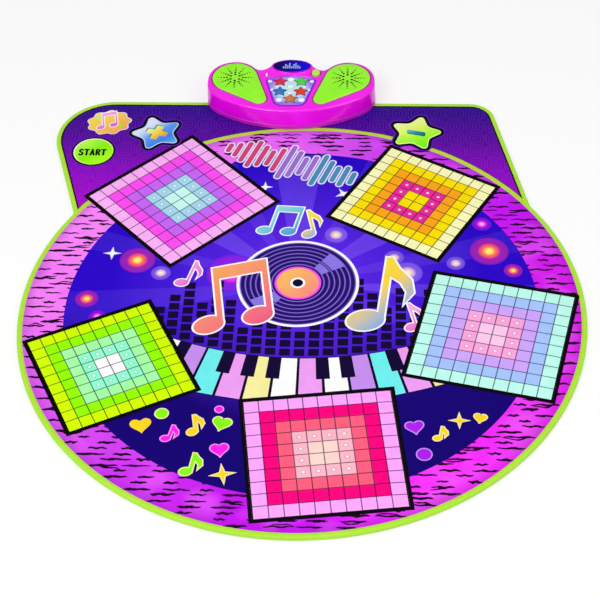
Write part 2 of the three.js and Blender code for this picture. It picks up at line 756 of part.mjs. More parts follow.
function consoleBase() {
  const far = 2 * consoleDepth;
  const bindingFront = matOverlap - bindingWidth - seatGap;
  const matSpace = [
    box(-far, -far, -far, far, bindingFront, baseUnderside),
    box(-far, -far, -far, far, stepY, baseOverBinding),
  ];
  const lipInset = wall + seatGap + (draftInset * lipHeight) / (consoleTop - seamHeight);
  const lipBottom = seamHeight - lipHeight;
  const lip = shaped(baseBody(wall - seatGap, lipBottom, seamHeight),
    [baseBody(lipInset, lipBottom, seamHeight + lipHeight)],
    [baseBody(lipInset + lipThickness, lipBottom - overrun, seamHeight + lipHeight + overrun)]);
  const frontSpan = box(-far, -far, -far, far, stepY + wall, baseOverBinding + wall);
  const cavity = shaped(baseBody(wall, rearFloor, seamHeight + overrun), [], [frontSpan]);
  const bayOuter = box(-bayHalfWidth - bayWall, bayFront - bayWall, rearFloor - wall / 2,
    bayHalfWidth + bayWall, bayBack + bayWall, bayTop);
  const bayInner = box(-bayHalfWidth, bayFront, rearFloor, bayHalfWidth, bayBack, bayTop + overrun);
  const clampPosts = [-1, 1].map((side) => (
    rod(side * clampScrewX, (clampFront + clampBack) / 2, bossRadius, frontFloor - wall / 2,
      clampBossTop, 8)));
  const posts = [
    ...bosses.map(({ x, y, floor }) => rod(x, y, bossRadius, floor - wall / 2, bossTop, 8)),
    ...pillars.map(({ x, y, floor }) => (
      rod(x, y, pillarRadius, floor - wall / 2, boardBottom - seatGap, 6))),
    ...clampPosts,
  ];
  const cuts = [
    bayInner,
    box(-doorFlushHalf, bayFront, -overrun, doorFlushHalf, far, rearFloor + seatGap),
    box(-bayHalfWidth, bayFront, rearClearance + doorLedgeHeight, bayHalfWidth, far,
      rearFloor + seatGap),
    ...bosses.map(({ x, y }) => rod(x, y, shankHole, -overrun, bossTop + overrun, 6)),
    ...bosses.map(({ x, y, underside }) => (
      rod(x, y, headRadius + seatGap, -overrun, underside + seatGap + headHeight + seatGap, 10))),
    ...[-1, 1].map((side) => (
      rod(side * clampScrewX, (clampFront + clampBack) / 2, shankHole, -overrun,
        clampBossTop + overrun, 6))),
    ...[-1, 1].map((side) => (
      rod(side * footX, footY, footRadius + seatGap, -overrun, rearClearance + footDepth, 16))),
    box(-tailSlotHalf, tailLine - 2 * seatGap, -overrun, tailSlotHalf,
      tailLine + filmThickness + 2 * seatGap, frontFloor + overrun),
  ];
  const tray = shaped(baseBody(0, rearClearance, seamHeight), [], [...matSpace, cavity]);
  return piece('console_base', shaped(tray, [lip, bayOuter, ...posts], cuts), colours.base, 0.5);
}

function batteryDoor() {
  const far = 2 * consoleDepth;
  const flush = box(-doorFlushHalf + doorGap, bayFront + doorGap, rearClearance,
    doorFlushHalf - doorGap, far, doorTop);
  const tongues = box(-bayHalfWidth + doorGap, bayFront + doorGap,
    rearClearance + doorLedgeHeight + seatGap, bayHalfWidth - doorGap, far, doorTop);
  const grooves = Array.from({ length: gripGrooves }, (_, i) => {
    const y = bayBack - i * gripPitch;
    return box(-gripHalfWidth, y, -overrun, gripHalfWidth, y + gripPitch / 2,
      rearClearance + gripDepth);
  });
  const plate = shaped(flush, [tongues], grooves);
  return piece('battery_door', common(plate, baseBody(0, 0, seamHeight)), colours.base, 0.5);
}

function batteries() {
  const cell = turned([
    [0, -cellLength / 2], [cellRadius, -cellLength / 2], [cellRadius, cellLength / 2],
    [nubRadius, cellLength / 2], [nubRadius, cellLength / 2 + nubHeight],
    [0, cellLength / 2 + nubHeight],
  ], 12);
  const pitch = 2 * cellRadius + cellGap;
  const height = rearFloor + cellRadius;
  const cells = Array.from({ length: cellCount }, (_, i) => {
    const mesh = piece(`battery_cell_${i + 1}`, cell, colours.cell, 0.3, 0.4);
    mesh.rotation.y = i % 2 ? -Math.PI / 2 : Math.PI / 2;
    mesh.position.set(i % 2 ? nubHeight / 2 : -nubHeight / 2,
      bayFront + cellGap + cellRadius + i * pitch, height);
    return mesh;
  });
  const contacts = [-1, 1].map((side) => {
    const outer = bayHalfWidth - seatGap;
    const inner = outer - contactThickness;
    const bump = cellLength / 2 + nubHeight / 2 + seatGap;
    const plate = box(inner, bayFront + cellGap, height - contactHeight / 2, outer,
      bayBack - cellGap, height + contactHeight / 2);
    const springs = Array.from({ length: cellCount }, (_, i) => (
      turned([[0, 0], [nubRadius, 0], [2 * nubRadius, inner - bump + contactThickness / 2],
        [0, inner - bump + contactThickness / 2]], 6)
        .rotateY(Math.PI / 2)
        .translate(bump, bayFront + cellGap + cellRadius + i * pitch, height)));
    const geometry = shaped(plate, springs);
    if (side < 0) geometry.rotateZ(Math.PI).translate(0, bayFront + bayBack, 0);
    return piece(side < 0 ? 'left_contact' : 'right_contact', geometry, colours.steel, 0.3, 0.9);
  });
  return [...cells, ...contacts];
}

// Perforations: a small inner ring, then rays of holes that shrink outwards
function perforations() {
  const holes = [];
  const hole = (radius, angle, size, sides) => {
    const turn = THREE.MathUtils.degToRad(angle);
    return place(circle(0, 0, size, sides), lobeX + radius * Math.cos(turn),
      lobeY + radius * Math.sin(turn), angle);
  };
  for (let i = 0; i < innerRingHoleCount; i += 1) {
    holes.push(hole(innerRingRadius, 90 + (i * 360) / innerRingHoleCount, innerHoleRadius, 6));
  }
  for (let ring = 0; ring < rayRingCount; ring += 1) {
    for (let ray = 0; ray < rayCount; ray += 1) {
      const size = innerHoleRadius - holeTaper * (ring + 1);
      const sides = ring < rayRingCount / 2 ? 6 : 4;
      holes.push(hole(firstRayRadius + ring * raySpacing, (ray * 360) / rayCount, size, sides));
    }
  }
  return holes;
}

function grille(side) {
  const faceBottom = consoleTop + grilleRise - grilleFace;
  const top = consoleTop + grilleRise;
  const mirror = (points) => (side > 0 ? points : points.map((p) => new THREE.Vector2(-p.x, p.y)));
  const face = extrude(teardrop(side, 0), faceBottom, top, perforations().map(mirror));
  const rim = extrude(teardrop(side, 0), flangeBottom, faceBottom + grilleFace / 2,
    [teardrop(side, -grilleRim)]);
  const flange = extrude(teardrop(side, flangeWidth), flangeBottom, flangeTop,
    [teardrop(side, -grilleRim)]);
  const collarWall = speakerRadius + seatGap;
  const collar = extrude(circle(side * lobeX, lobeY, collarWall + collarThickness, speakerFacetCount),
    faceBottom - collarDepth, faceBottom + grilleFace / 4,
    [circle(side * lobeX, lobeY, collarWall + seatGap, speakerFacetCount)]);
  const name = side < 0 ? 'left_grille' : 'right_grille';
  return piece(name, shaped(face, [rim, flange, collar]), colours.grille, 0.35);
}

function speaker(side) {
  const name = side < 0 ? 'left' : 'right';
  const inner = speakerRadius - speakerLip;
  const drop = speakerLip / 2;
  const floor = speakerDepth / 2;
  const basket = turned([
    [0, -speakerDepth], [magnetRadius, -speakerDepth], [magnetRadius, magnetHeight - speakerDepth],
    [magnetRadius - drop, magnetHeight - speakerDepth], [inner - drop, -drop - seatGap],
    [speakerRadius, -drop], [speakerRadius, 0], [inner, 0], [inner, -drop - seatGap],
    [magnetRadius - 2 * drop, -floor], [0, -floor],
  ], speakerFacetCount);
  const rim = inner - seatGap;
  const cone = turned([
    [0, -floor + seatGap], [coilRadius, -floor + seatGap], [coilRadius, -floor / 2 - 2 * coneThickness],
    [rim - 2 * drop, -drop - coneThickness], [rim, -drop], [rim, -drop + coneThickness],
    [rim - drop, -drop / 2], [rim - 2 * drop, -drop], [coilRadius + drop, -floor / 2 - coneThickness],
    [coilRadius / 2, -floor / 2 + coneThickness], [0, -floor / 2 + 2 * coneThickness],
  ], speakerFacetCount);
  const height = consoleTop + grilleRise - grilleFace - seatGap;
  const pieces = [
    piece(`${name}_speaker`, basket, colours.steel, 0.4, 0.8),
    piece(`${name}_cone`, cone, colours.cone, 0.8),
  ];
  pieces.forEach((mesh) => mesh.position.set(side * lobeX, lobeY, height));
  return pieces;
}

const starColours = {
  crimson: colours.crimson, green: colours.starGreen, blue: colours.starBlue,
  red: colours.starRed, orange: colours.orange,
};
const stars = Object.entries(starCentreShares).map(([name, [x, y]]) => (
  { name, x: x * panelShoulderX, y: y * panelTopY }));
const panelTop = consoleTop + panelRise;

// A flat star outline with one tip pointing back
function starAt(item, grow) {
  const points = inset(star(starTip, starValley, 0, 0, 1), -grow);
  return place(points, item.x, item.y, 90);
}

function starPanel() {
  const holes = stars.map((item) => starAt(item, fitGap));
  const plate = extrude(starPanelOutline(0), flangeBottom, panelTop, holes);
  const flange = extrude(starPanelOutline(flangeWidth), flangeBottom, flangeTop,
    [starPanelOutline(-seatGap)]);
  return piece('star_panel', shaped(plate, [flange]), colours.panel, 0.25);
}

function starButton(item) {
  const flange = flangeBottom - seatGap;
  const body = extrude(starAt(item, 0), flange - flangeThickness / 2, panelTop + starRise);
  const foot = extrude(starAt(item, starGrow), flange - flangeThickness, flange);
  const stem = rod(item.x, item.y, stemRadius, stemEnd, flange - flangeThickness / 2, 8);
  return piece(`${item.name}_star`, shaped(body, [foot, stem]), starColours[item.name], 0.3);
}

function powerButton() {
  const body = extrude(powerOutline(0), flangeBottom, consoleTop + powerRise);
  const foot = extrude(powerOutline(starGrow), flangeBottom, flangeTop);
  const stem = rod(powerX, powerY, stemRadius, stemEnd, flangeBottom + flangeThickness / 2, 8);
  return piece('power_button', shaped(body, [foot, stem]), colours.lime, 0.3);
}

function powerLight() {
  const body = extrude(lightOutline(0), flangeTop - lightLength, consoleTop + seatGap);
  const foot = extrude(lightOutline(starGrow), flangeBottom, flangeTop);
  return piece('power_light', shaped(body, [foot]), colours.white, 0.2);
}

function electronics() {
  const domes = [...stars, { x: powerX, y: powerY }];
  const board = box(-boardHalfWidth, boardFront, boardBottom, boardHalfWidth, boardBack, boardTop);
  const connector = box(-connectorWidth / 2, tailLine - connectorDepth / 2,
    boardBottom - connectorHeight, connectorWidth / 2, tailLine + connectorDepth / 2,
    boardBottom + boardThickness / 2);
  const chip = box(-chipSide / 2, boardFront + chipSide, boardBottom - chipHeight, chipSide / 2,
    boardFront + 2 * chipSide, boardBottom + boardThickness / 2);
  const mat = box(keypadMargin - boardHalfWidth, boardFront + keypadMargin, keypadBottom,
    boardHalfWidth - keypadMargin / 2, boardBack - keypadMargin / 2, keypadBottom + keypadThickness);
  const bumps = domes.map(({ x, y }) => (
    turned([[0, keypadBottom + keypadThickness / 2], [domeRadius, keypadBottom + keypadThickness / 2],
      [stemRadius, domeTop], [0, domeTop]], 8).translate(x, y, 0)));
  return [
    piece('circuit_board', shaped(board, [connector, chip]), colours.board, 0.5),
    piece('keypad', shaped(mat, bumps), colours.rubber, 0.8),
  ];
}

function displayLens() {
  const bottom = podTop - lensDepth + seatGap;
  const outlineAt = (depth) => (
    ellipse(0, podY, lensHalfWidth - depth, lensHalfDepth - depth, 24));
  const edge = lensThickness / 3;
  return piece('display_lens', loft([
    { points: outlineAt(0), z: bottom },
    { points: outlineAt(0), z: bottom + lensThickness - edge },
    { points: outlineAt(edge), z: bottom + lensThickness },
  ]), colours.lens, 0.1);
}

// A screw standing with its head's flat side down, its shank pointing up
function screw(name, x, y, bottom, length) {
  const body = turned([
    [0, 0], [headRadius, 0], [headRadius, headHeight], [shankRadius, headHeight],
    [shankRadius, length], [0, length],
  ], 8);
  const mesh = piece(name, body, colours.steel, 0.3, 0.9);
  mesh.position.set(x, y, bottom);
  return mesh;
}

// A countersunk screw through the clamp plate and the mat into the base
function clampScrew(side) {
  const body = turned([
    [0, 0], [headRadius, 0], [shankRadius, clampThickness - seatGap],
    [shankRadius, clampBossTop - clampBottom - headHeight],
    [0, clampBossTop - clampBottom - headHeight],
  ], 10);
  const name = side < 0 ? 'left_clamp_screw' : 'right_clamp_screw';
  const mesh = piece(name, body, colours.steel, 0.3, 0.9);
  mesh.position.set(side * clampScrewX, (clampFront + clampBack) / 2, clampBottom);
  return mesh;
}

function clampPlate() {
  const plate = box(-clampHalfLength, clampFront, clampBottom, clampHalfLength, clampBack,
    clampBottom + clampThickness);
  const sinks = [-1, 1].map((side) => turned([
    [0, -overrun], [headRadius + seatGap, -overrun], [headRadius + seatGap, seatGap],
    [shankHole, clampThickness], [shankHole, clampThickness + overrun],
    [0, clampThickness + overrun],
  ], 10).translate(side * clampScrewX, (clampFront + clampBack) / 2, clampBottom));
  return piece('clamp_plate', shaped(plate, [], sinks), colours.steel, 0.4, 0.9);
}

function fasteners() {
  return [
    clampPlate(), clampScrew(-1), clampScrew(1),
    ...bosses.map(({ name, x, y, underside }) => (
      screw(`${name}_screw`, x, y, underside + seatGap, screwTip - underside - seatGap))),
  ];
}

function feet() {
  return [-1, 1].map((side) => {
    const top = rearClearance + footDepth - seatGap;
    const body = turned([[0, 0], [footRadius - top / 2, 0], [footRadius, top / 2], [footRadius, top],
      [0, top]], 16);
    const mesh = piece(side < 0 ? 'left_foot' : 'right_foot', body, colours.cone, 0.9);
    mesh.position.set(side * footX, footY, 0);
    return mesh;
  });
}

// Audio socket: a body inside the wall with a bush that comes out through it
function lineInSocket() {
  const bush = rod(0, 0, socketRadius, 0, socketBush, 12);
  const body = box(-socketBody / 2, -socketBody / 2, -socketBody, socketBody / 2, socketBody / 2,
    socketRadius / 4);
  const bore = rod(0, 0, socketBore, socketBush - socketBoreDepth, socketBush + overrun, 10);
  const geometry = shaped(body, [bush], [bore]).rotateX(-Math.PI / 2)
    .translate(socketX, socketBack - socketBush, socketHeight);
  return piece('line_in_socket', geometry, colours.cone, 0.5);
}

function consolePieces() {
  const sides = [-1, 1];
  const group = new THREE.Group();
  group.add(
    consoleTopShell(), consoleBase(), batteryDoor(), ...batteries(),
    ...sides.map(grille), ...sides.flatMap(speaker), starPanel(), ...stars.map(starButton),
    powerButton(), powerLight(), ...electronics(), displayLens(), ...fasteners(), ...feet(),
    lineInSocket(),
  );
  group.position.set(consoleX, consoleFront, 0);
  return group;
}

const danceMat = new THREE.Group();
danceMat.add(...matLayers(), ...pads.flatMap(padPieces), ...keys.flatMap(keyPieces));
danceMat.add(consolePieces());

export default danceMat;
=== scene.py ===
"""Looks of the electronic dance mat: a printed vinyl mat on foam with a sound console on its back edge.

Sizes are in millimetres in the mat's own frame, +Z up, with the origin on the floor under the centre
of the round front part, and turn to metres where a mesh is made.
"""

import math
import random

import bmesh
import bpy
import numpy as np
from mathutils import Matrix, Vector
from mathutils.geometry import delaunay_2d_cdt


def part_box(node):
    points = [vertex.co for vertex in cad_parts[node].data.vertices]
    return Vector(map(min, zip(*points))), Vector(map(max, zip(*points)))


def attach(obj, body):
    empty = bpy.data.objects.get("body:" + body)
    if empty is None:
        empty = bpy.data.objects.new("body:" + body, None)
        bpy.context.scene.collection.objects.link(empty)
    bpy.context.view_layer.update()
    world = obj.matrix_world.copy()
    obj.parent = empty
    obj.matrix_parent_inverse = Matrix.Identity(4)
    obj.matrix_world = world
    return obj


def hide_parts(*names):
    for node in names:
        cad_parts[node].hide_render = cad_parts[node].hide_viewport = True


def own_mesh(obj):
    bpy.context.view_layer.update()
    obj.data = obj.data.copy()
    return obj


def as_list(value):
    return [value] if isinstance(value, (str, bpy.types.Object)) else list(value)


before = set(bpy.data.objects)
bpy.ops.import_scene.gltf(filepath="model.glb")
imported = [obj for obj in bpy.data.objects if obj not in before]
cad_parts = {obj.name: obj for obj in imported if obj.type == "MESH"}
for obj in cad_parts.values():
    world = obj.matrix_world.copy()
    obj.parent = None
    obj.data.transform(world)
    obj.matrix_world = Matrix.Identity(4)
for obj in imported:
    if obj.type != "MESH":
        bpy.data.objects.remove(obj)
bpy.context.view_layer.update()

MM = 0.001
ROOT = "mat"


def low(node, axis):
    """The lowest place of a node along X, Y or Z (0, 1, 2), in millimetres."""
    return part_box(node)[0][axis] / MM


def high(node, axis):
    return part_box(node)[1][axis] / MM


def extent(node, axis):
    return high(node, axis) - low(node, axis)


def halfway(node, axis):
    return (low(node, axis) + high(node, axis)) / 2


def middle_of(node):
    """The middle of a node seen from above."""
    return (halfway(node, 0), halfway(node, 1))


# Sizes that the pieces share
COVER_TOP = high("cover_sheet", 2)
COVER_THICK = extent("cover_sheet", 2)
BINDING_TOP = high("edge_binding", 2)
MAT_RADIUS = extent("edge_binding", 0) / 2
BACK_EDGE = high("edge_binding", 1)
LEFT_CORNER_SHARE, RIGHT_CORNER_SHARE = -1.067, 0.7
LEFT_CORNER = (LEFT_CORNER_SHARE * MAT_RADIUS, BACK_EDGE)
RIGHT_CORNER = (RIGHT_CORNER_SHARE * MAT_RADIUS, BACK_EDGE)
LEFT_CORNER_RADIUS = 100
RIGHT_CORNER_RADIUS = 45
JUNCTION_RADIUS = 14
LEFT_JUNCTION = 150.4
RIGHT_JUNCTION = 33.8
TAPE_LAP = 8
COVER_INSET = 1.1
WINDOW_GAP = 0.5
SEAM_MARGIN = 1.5
PAD_TURNS = {"back_left": 43.3, "back_right": -30, "right": -12.9, "front": 7.2, "left": 26.4}
RING_MARGIN = 9
RING_RADIUS = MAT_RADIUS - RING_MARGIN
STAGE_RADIUS = 385
RECORD = (-8, 62)
RECORD_RADIUS = 96
SIDES = ("left", "right")


def channels(code):
    """The red, green and blue of a hex code, 0 to 255."""
    return [int(code[i : i + 2], 16) for i in (1, 3, 5)]


def rgb(code):
    """A linear colour from an sRGB hex code."""
    parts = [c / 255 for c in channels(code)]
    linear = [c / 12.92 if c <= 0.04045 else ((c + 0.055) / 1.055) ** 2.4 for c in parts]
    return (*linear, 1)


# Outlines, as lists of (x, y)


def arc(cx, cy, radius, start, end, steps):
    angles = [math.radians(start + (end - start) * i / steps) for i in range(steps + 1)]
    return [(cx + radius * math.cos(a), cy + radius * math.sin(a)) for a in angles]


def circle(cx, cy, radius, sides=48):
    return arc(cx, cy, radius, 0, 360, sides)[:sides]


def ellipse(cx, cy, half_width, half_depth, sides=48):
    return [(cx + x * half_width, cy + y * half_depth) for x, y in circle(0, 0, 1, sides)]


def rectangle(x0, y0, x1, y1):
    return [(x0, y0), (x1, y0), (x1, y1), (x0, y1)]


def place(points, x, y, turn=0, scale=1):
    """Points scaled and turned, in degrees, about the origin and then moved."""
    c, s = math.cos(math.radians(turn)) * scale, math.sin(math.radians(turn)) * scale
    return [(x + c * px - s * py, y + s * px + c * py) for px, py in points]


def round_corner(before, corner, after, radius, steps):
    """The arc that rounds a corner between the points before and after it."""
    b, c, a = Vector(before), Vector(corner), Vector(after)
    u, v = (b - c).normalized(), (a - c).normalized()
    half = u.angle(v) / 2
    centre = c + (u + v).normalized() * (radius / math.sin(half))
    first, last = (c + w * (radius / math.tan(half)) - centre for w in (u, v))
    begin = math.degrees(math.atan2(first.y, first.x))
    sweep = (math.degrees(math.atan2(last.y, last.x)) - begin + 180) % 360 - 180
    return arc(centre.x, centre.y, radius, begin, begin + sweep, steps)


def rounded(corners, steps=6):
    """A polygon whose corners (x, y, radius) are rounded."""
    points = []
    for i, (x, y, radius) in enumerate(corners):
        before, after = corners[i - 1][:2], corners[(i + 1) % len(corners)][:2]
        corner = round_corner(before, (x, y), after, radius, steps) if radius else [(x, y)]
        points.extend(corner)
    return points


def star(tip, valley, tip_rounding=0, valley_rounding=0, tips=5, steps=6):
    """A star about the origin, with its first tip along X."""
    corners = []
    for i in range(2 * tips):
        angle = math.pi * i / tips
        radius = valley if i % 2 else tip
        rounding = valley_rounding if i % 2 else tip_rounding
        corners.append((radius * math.cos(angle), radius * math.sin(angle), rounding))
    return rounded(corners, steps)


def inset(points, distance, least=0.3):
    """A closed outline, anticlockwise, moved inwards by a distance."""
    moved = []
    for i, point in enumerate(points):
        p = Vector(point)
        a = (p - Vector(points[i - 1])).normalized()
        b = (Vector(points[(i + 1) % len(points)]) - p).normalized()
        normal = Vector((-a.y - b.y, a.x + b.x)).normalized()
        stretch = max(normal.dot(Vector((-a.y, a.x))), least)
        moved.append(tuple(p + normal * (distance / stretch)))
    return moved


# Making and finishing meshes


def pick(ob=None):
    """Leaves edit mode, deselects everything and makes ob the selected, active object."""
    if bpy.context.object and bpy.context.object.mode != "OBJECT":
        bpy.ops.object.mode_set(mode="OBJECT")
    bpy.ops.object.select_all(action="DESELECT")
    if ob:
        ob.select_set(True)
        bpy.context.view_layer.objects.active = ob
    return ob


def flat(name, points, height):
    """A filled face whose corners are moved to an outline."""
    pick()
    bpy.ops.mesh.primitive_circle_add(vertices=len(points), fill_type="NGON")
    ob = bpy.context.object
    ob.name = ob.data.name = name
    for vertex, (x, y) in zip(ob.data.vertices, points):
        vertex.co = Vector((x, y, height)) * MM
    return ob


def mesh_object(name, points, faces):
    mesh = bpy.data.meshes.new(name)
    mesh.from_pydata(points, [], faces)
    ob = bpy.data.objects.new(name, mesh)
    bpy.context.collection.objects.link(ob)
    return ob


def tidy_normals(ob):
    pick(ob)
    bpy.ops.object.mode_set(mode="EDIT")
    bpy.ops.mesh.select_all(action="SELECT")
    bpy.ops.mesh.normals_make_consistent(inside=False)
    bpy.ops.object.mode_set(mode="OBJECT")
    return ob


def loft(name, rings):
    """A closed solid extruded from ring to ring; a ring is (outline, height), all with equal counts."""
    ob = flat(name, *rings[0])
    bpy.ops.object.mode_set(mode="EDIT")
    mesh = bmesh.from_edit_mesh(ob.data)
    order = mesh.verts.layers.int.new("order")
    for i, vertex in enumerate(mesh.verts):
        vertex[order] = i
    for points, height in rings[1:]:
        bpy.ops.mesh.extrude_region_move()
        mesh = bmesh.from_edit_mesh(ob.data)
        order = mesh.verts.layers.int["order"]
        for vertex in mesh.verts:
            if vertex.select:
                vertex.co = Vector((*points[vertex[order]], height)) * MM
    bmesh.update_edit_mesh(ob.data)
    bpy.ops.object.mode_set(mode="OBJECT")
    ob.data.attributes.remove(ob.data.attributes["order"])
    return tidy_normals(ob)


def prism(name, points, bottom, top):
    return loft(name, [(points, bottom), (points, top)])


def turned(name, x, y, profile, sides=48):
    """A solid of revolution about an upright axis, from (radius, height) pairs."""
    return loft(name, [(circle(x, y, radius, sides), height) for radius, height in profile])


def apply(ob, kind, **settings):
    """Adds a modifier and applies it."""
    modifier = ob.modifiers.new(kind.lower(), kind)
    for key, value in settings.items():
        setattr(modifier, key, value)
    pick(ob)
    bpy.ops.object.modifier_apply(modifier=modifier.name)
    return ob


def turn_and_move(ob, degrees, axis, place_at):
    """Turns a mesh made at the origin about an axis and moves it to its place."""
    ob.data.transform(Matrix.Rotation(math.radians(degrees), 4, axis))
    ob.data.transform(Matrix.Translation(Vector(place_at) * MM))
    return ob


def joined(name, parts):
    """One mesh made of several."""
    pick(parts[0])
    for part in parts:
        part.select_set(True)
    if len(parts) > 1:
        bpy.ops.object.join()
    parts[0].name = parts[0].data.name = name
    return parts[0]


def cut(ob, tools, operation="DIFFERENCE"):
    """Cuts ob by the tools, or adds or keeps what they share, and deletes them."""
    for tool in tools:
        apply(ob, "BOOLEAN", operation=operation, solver="EXACT", object=tool)
        bpy.data.objects.remove(tool)
    return ob


def dress(ob, materials, body=ROOT, replaces=(), smooth=35):
    """Gives a finished mesh its materials, shading and place in the frame."""
    if materials:
        ob.data.materials.clear()
        for material in materials:
            ob.data.materials.append(material)
    pick(ob)
    bpy.ops.object.shade_smooth_by_angle(angle=math.radians(smooth))
    if replaces:
        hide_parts(*replaces)
    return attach(ob, body)


# Materials


COLOUR_RAMP, MATH, VECTOR_MATH = "ShaderNodeValToRGB", "ShaderNodeMath", "ShaderNodeVectorMath"
NOISE, BUMP, MAP_RANGE, MIX = "ShaderNodeTexNoise", "ShaderNodeBump", "ShaderNodeMapRange", "ShaderNodeMix"
SEPARATE, COORDINATES = "ShaderNodeSeparateXYZ", "ShaderNodeTexCoord"
MIX_A, MIX_B, MIX_OUT = 6, 7, 2


def connect(tree, node, inputs):
    """Gives a node's inputs, by name or number, their values, or links them to sockets."""
    for key, value in inputs.items():
        if isinstance(value, bpy.types.NodeSocket):
            tree.links.new(value, node.inputs[key])
        else:
            node.inputs[key].default_value = value


def add(tree, kind, inputs=None, out=0, stops=(), **settings):
    """Adds one node; inputs are values or sockets by name or number, and out is the output wanted.

    stops are a colour ramp's positions, each with a hex colour or a grey level.
    """
    made = tree.nodes.new(kind)
    for key, value in settings.items():
        setattr(made, key, value)
    connect(tree, made, inputs or {})
    for i, (position, code) in enumerate(stops):
        band = made.color_ramp.elements
        element = band[i] if i < len(band) else band.new(position)
        element.position = position
        element.color = rgb(code) if isinstance(code, str) else (code, code, code, 1)
    return made.outputs[out]


def blank(name):
    """A new material with its node tree, its shader and its Object coordinates."""
    material = bpy.data.materials.new(name)
    material.use_nodes = True
    tree = material.node_tree
    shader = tree.nodes["Principled BSDF"]
    return material, tree, shader, add(tree, COORDINATES, out="Object")


def vinyl(name, paint, gloss=0.3):
    """Printed PVC sheet: satin, with a fine embossed grain, lying in faint waves over the foam.

    paint is a hex colour, or a function that builds the colour from the tree and the coordinates.
    """
    grain_size, grain_depth, wave_size, wave_depth, mottle_size = 1.2, 0.06, 75, 2, 22
    material, tree, shader, place_of = blank(name)
    mottle = add(tree, NOISE, {"Vector": place_of, "Scale": 1 / (mottle_size * MM)})
    shade = add(tree, COLOUR_RAMP, {0: mottle}, stops=[(0.3, 0.93), (0.7, 1)])
    colour = paint(tree, place_of) if callable(paint) else rgb(paint)
    inked = add(tree, MIX, {0: 1, MIX_A: colour, MIX_B: shade}, MIX_OUT, data_type="RGBA",
                blend_type="MULTIPLY")
    grain = add(tree, NOISE, {"Vector": place_of, "Scale": 1 / (grain_size * MM)})
    waves = add(tree, NOISE, {"Vector": place_of, "Scale": 1 / (wave_size * MM)})
    lie = add(tree, BUMP, {"Height": waves, "Strength": 0.3, "Distance": wave_depth * MM})
    emboss = {"Height": grain, "Strength": 0.25, "Distance": grain_depth * MM, "Normal": lie}
    sheen = {"Value": mottle, "To Min": gloss, "To Max": gloss + 0.14}
    connect(tree, shader, {
        "Base Color": inked, "Roughness": add(tree, MAP_RANGE, sheen), "Normal": add(tree, BUMP, emboss),
        "IOR": 1.53, "Specular IOR Level": 0.04,
    })
    return material


def from_middle(tree):
    """Where a point lies from the middle of its own motif, -1 to 1, by the UV map."""
    uv = add(tree, COORDINATES, out="UV")
    moved = add(tree, VECTOR_MATH, {0: uv, 1: (0.5, 0.5, 0)}, operation="SUBTRACT")
    return add(tree, VECTOR_MATH, {0: moved, "Scale": 2}, operation="SCALE")


def from_cell_middle(tree, place_of, pitch):
    """Where a point lies from the middle of its cell in a square pattern, -0.5 to 0.5."""
    per_cell = 1 / (pitch * MM)
    scaled = add(tree, VECTOR_MATH, {0: place_of, 1: (per_cell, per_cell, 0)}, operation="MULTIPLY")
    inside = add(tree, VECTOR_MATH, {0: scaled}, operation="FRACTION")
    return add(tree, VECTOR_MATH, {0: inside, 1: (0.5, 0.5, 0)}, operation="SUBTRACT")


STAGE_STOPS = [(0, "#140070"), (0.28, "#160074"), (0.4, "#2000A0"), (0.5, "#2C02CC"), (1, "#2600C8")]


def stage_colours(lift):
    """The centre's print: blue, navy in front, with a violet glow round the record; a beam is lifted."""

    def paint(tree, place_of):
        depth = add(tree, SEPARATE, {0: place_of}, 1)
        share = add(tree, MAP_RANGE, {0: depth, 1: -STAGE_RADIUS * MM, 2: STAGE_RADIUS * MM})
        base = add(tree, COLOUR_RAMP, {0: share}, stops=STAGE_STOPS)
        middle = tuple(c * MM for c in RECORD)
        out = add(tree, VECTOR_MATH, {0: place_of, 1: (*middle, 0)}, "Value", operation="DISTANCE")
        near, far = RECORD_RADIUS * MM, STAGE_RADIUS * MM
        glow = add(tree, MAP_RANGE, {0: out, 1: near, 2: 0.8 * far, 3: 0.8, 4: 0})
        lit = add(tree, MIX, {0: glow, MIX_A: base, MIX_B: rgb("#6028EC")}, MIX_OUT, data_type="RGBA")
        if not lift:
            return lit
        fade = add(tree, MAP_RANGE, {0: out, 1: near, 2: far, 3: lift, 4: lift / 3})
        return add(tree, MIX, {0: fade, MIX_A: lit, MIX_B: rgb("#8C60FF")}, MIX_OUT, data_type="RGBA")

    return paint


def glow_colours(rim, ring, core):
    """A printed light: a bright core in a coloured ring, and a flat halo on the centre's print."""

    def paint(tree, place_of):
        out = add(tree, VECTOR_MATH, {0: from_middle(tree)}, "Value", operation="LENGTH")
        light = add(tree, COLOUR_RAMP, {0: out}, stops=[(0, core), (0.12, core), (0.32, ring), (0.5, rim)])
        fade = add(tree, COLOUR_RAMP, {0: out}, stops=[(0.5, 1), (0.56, 0.42), (0.9, 0.34), (1, 0)])
        base = stage_colours(0)(tree, place_of)
        return add(tree, MIX, {0: fade, MIX_A: base, MIX_B: light}, MIX_OUT, data_type="RGBA")

    return paint


def shaded_colours(*codes, angle=-45):
    """A print whose colours run across its motif, from the upper left to the lower right."""

    def paint(tree, place_of):
        turn = {0: from_middle(tree), "Angle": math.radians(angle)}
        turned_to = add(tree, "ShaderNodeVectorRotate", turn, rotation_type="Z_AXIS")
        down = add(tree, SEPARATE, {0: turned_to}, 1)
        share = add(tree, MAP_RANGE, {0: down, 1: 0.75, 2: -0.75})
        stops = [(i / (len(codes) - 1), code) for i, code in enumerate(codes)]
        return add(tree, COLOUR_RAMP, {0: share}, stops=stops)

    return paint


LOBE_STOPS = [(0, "#B004D0"), (0.3, "#9000C6"), (0.6, "#5A00A0"), (0.85, "#31048C"), (1, "#2A0488")]


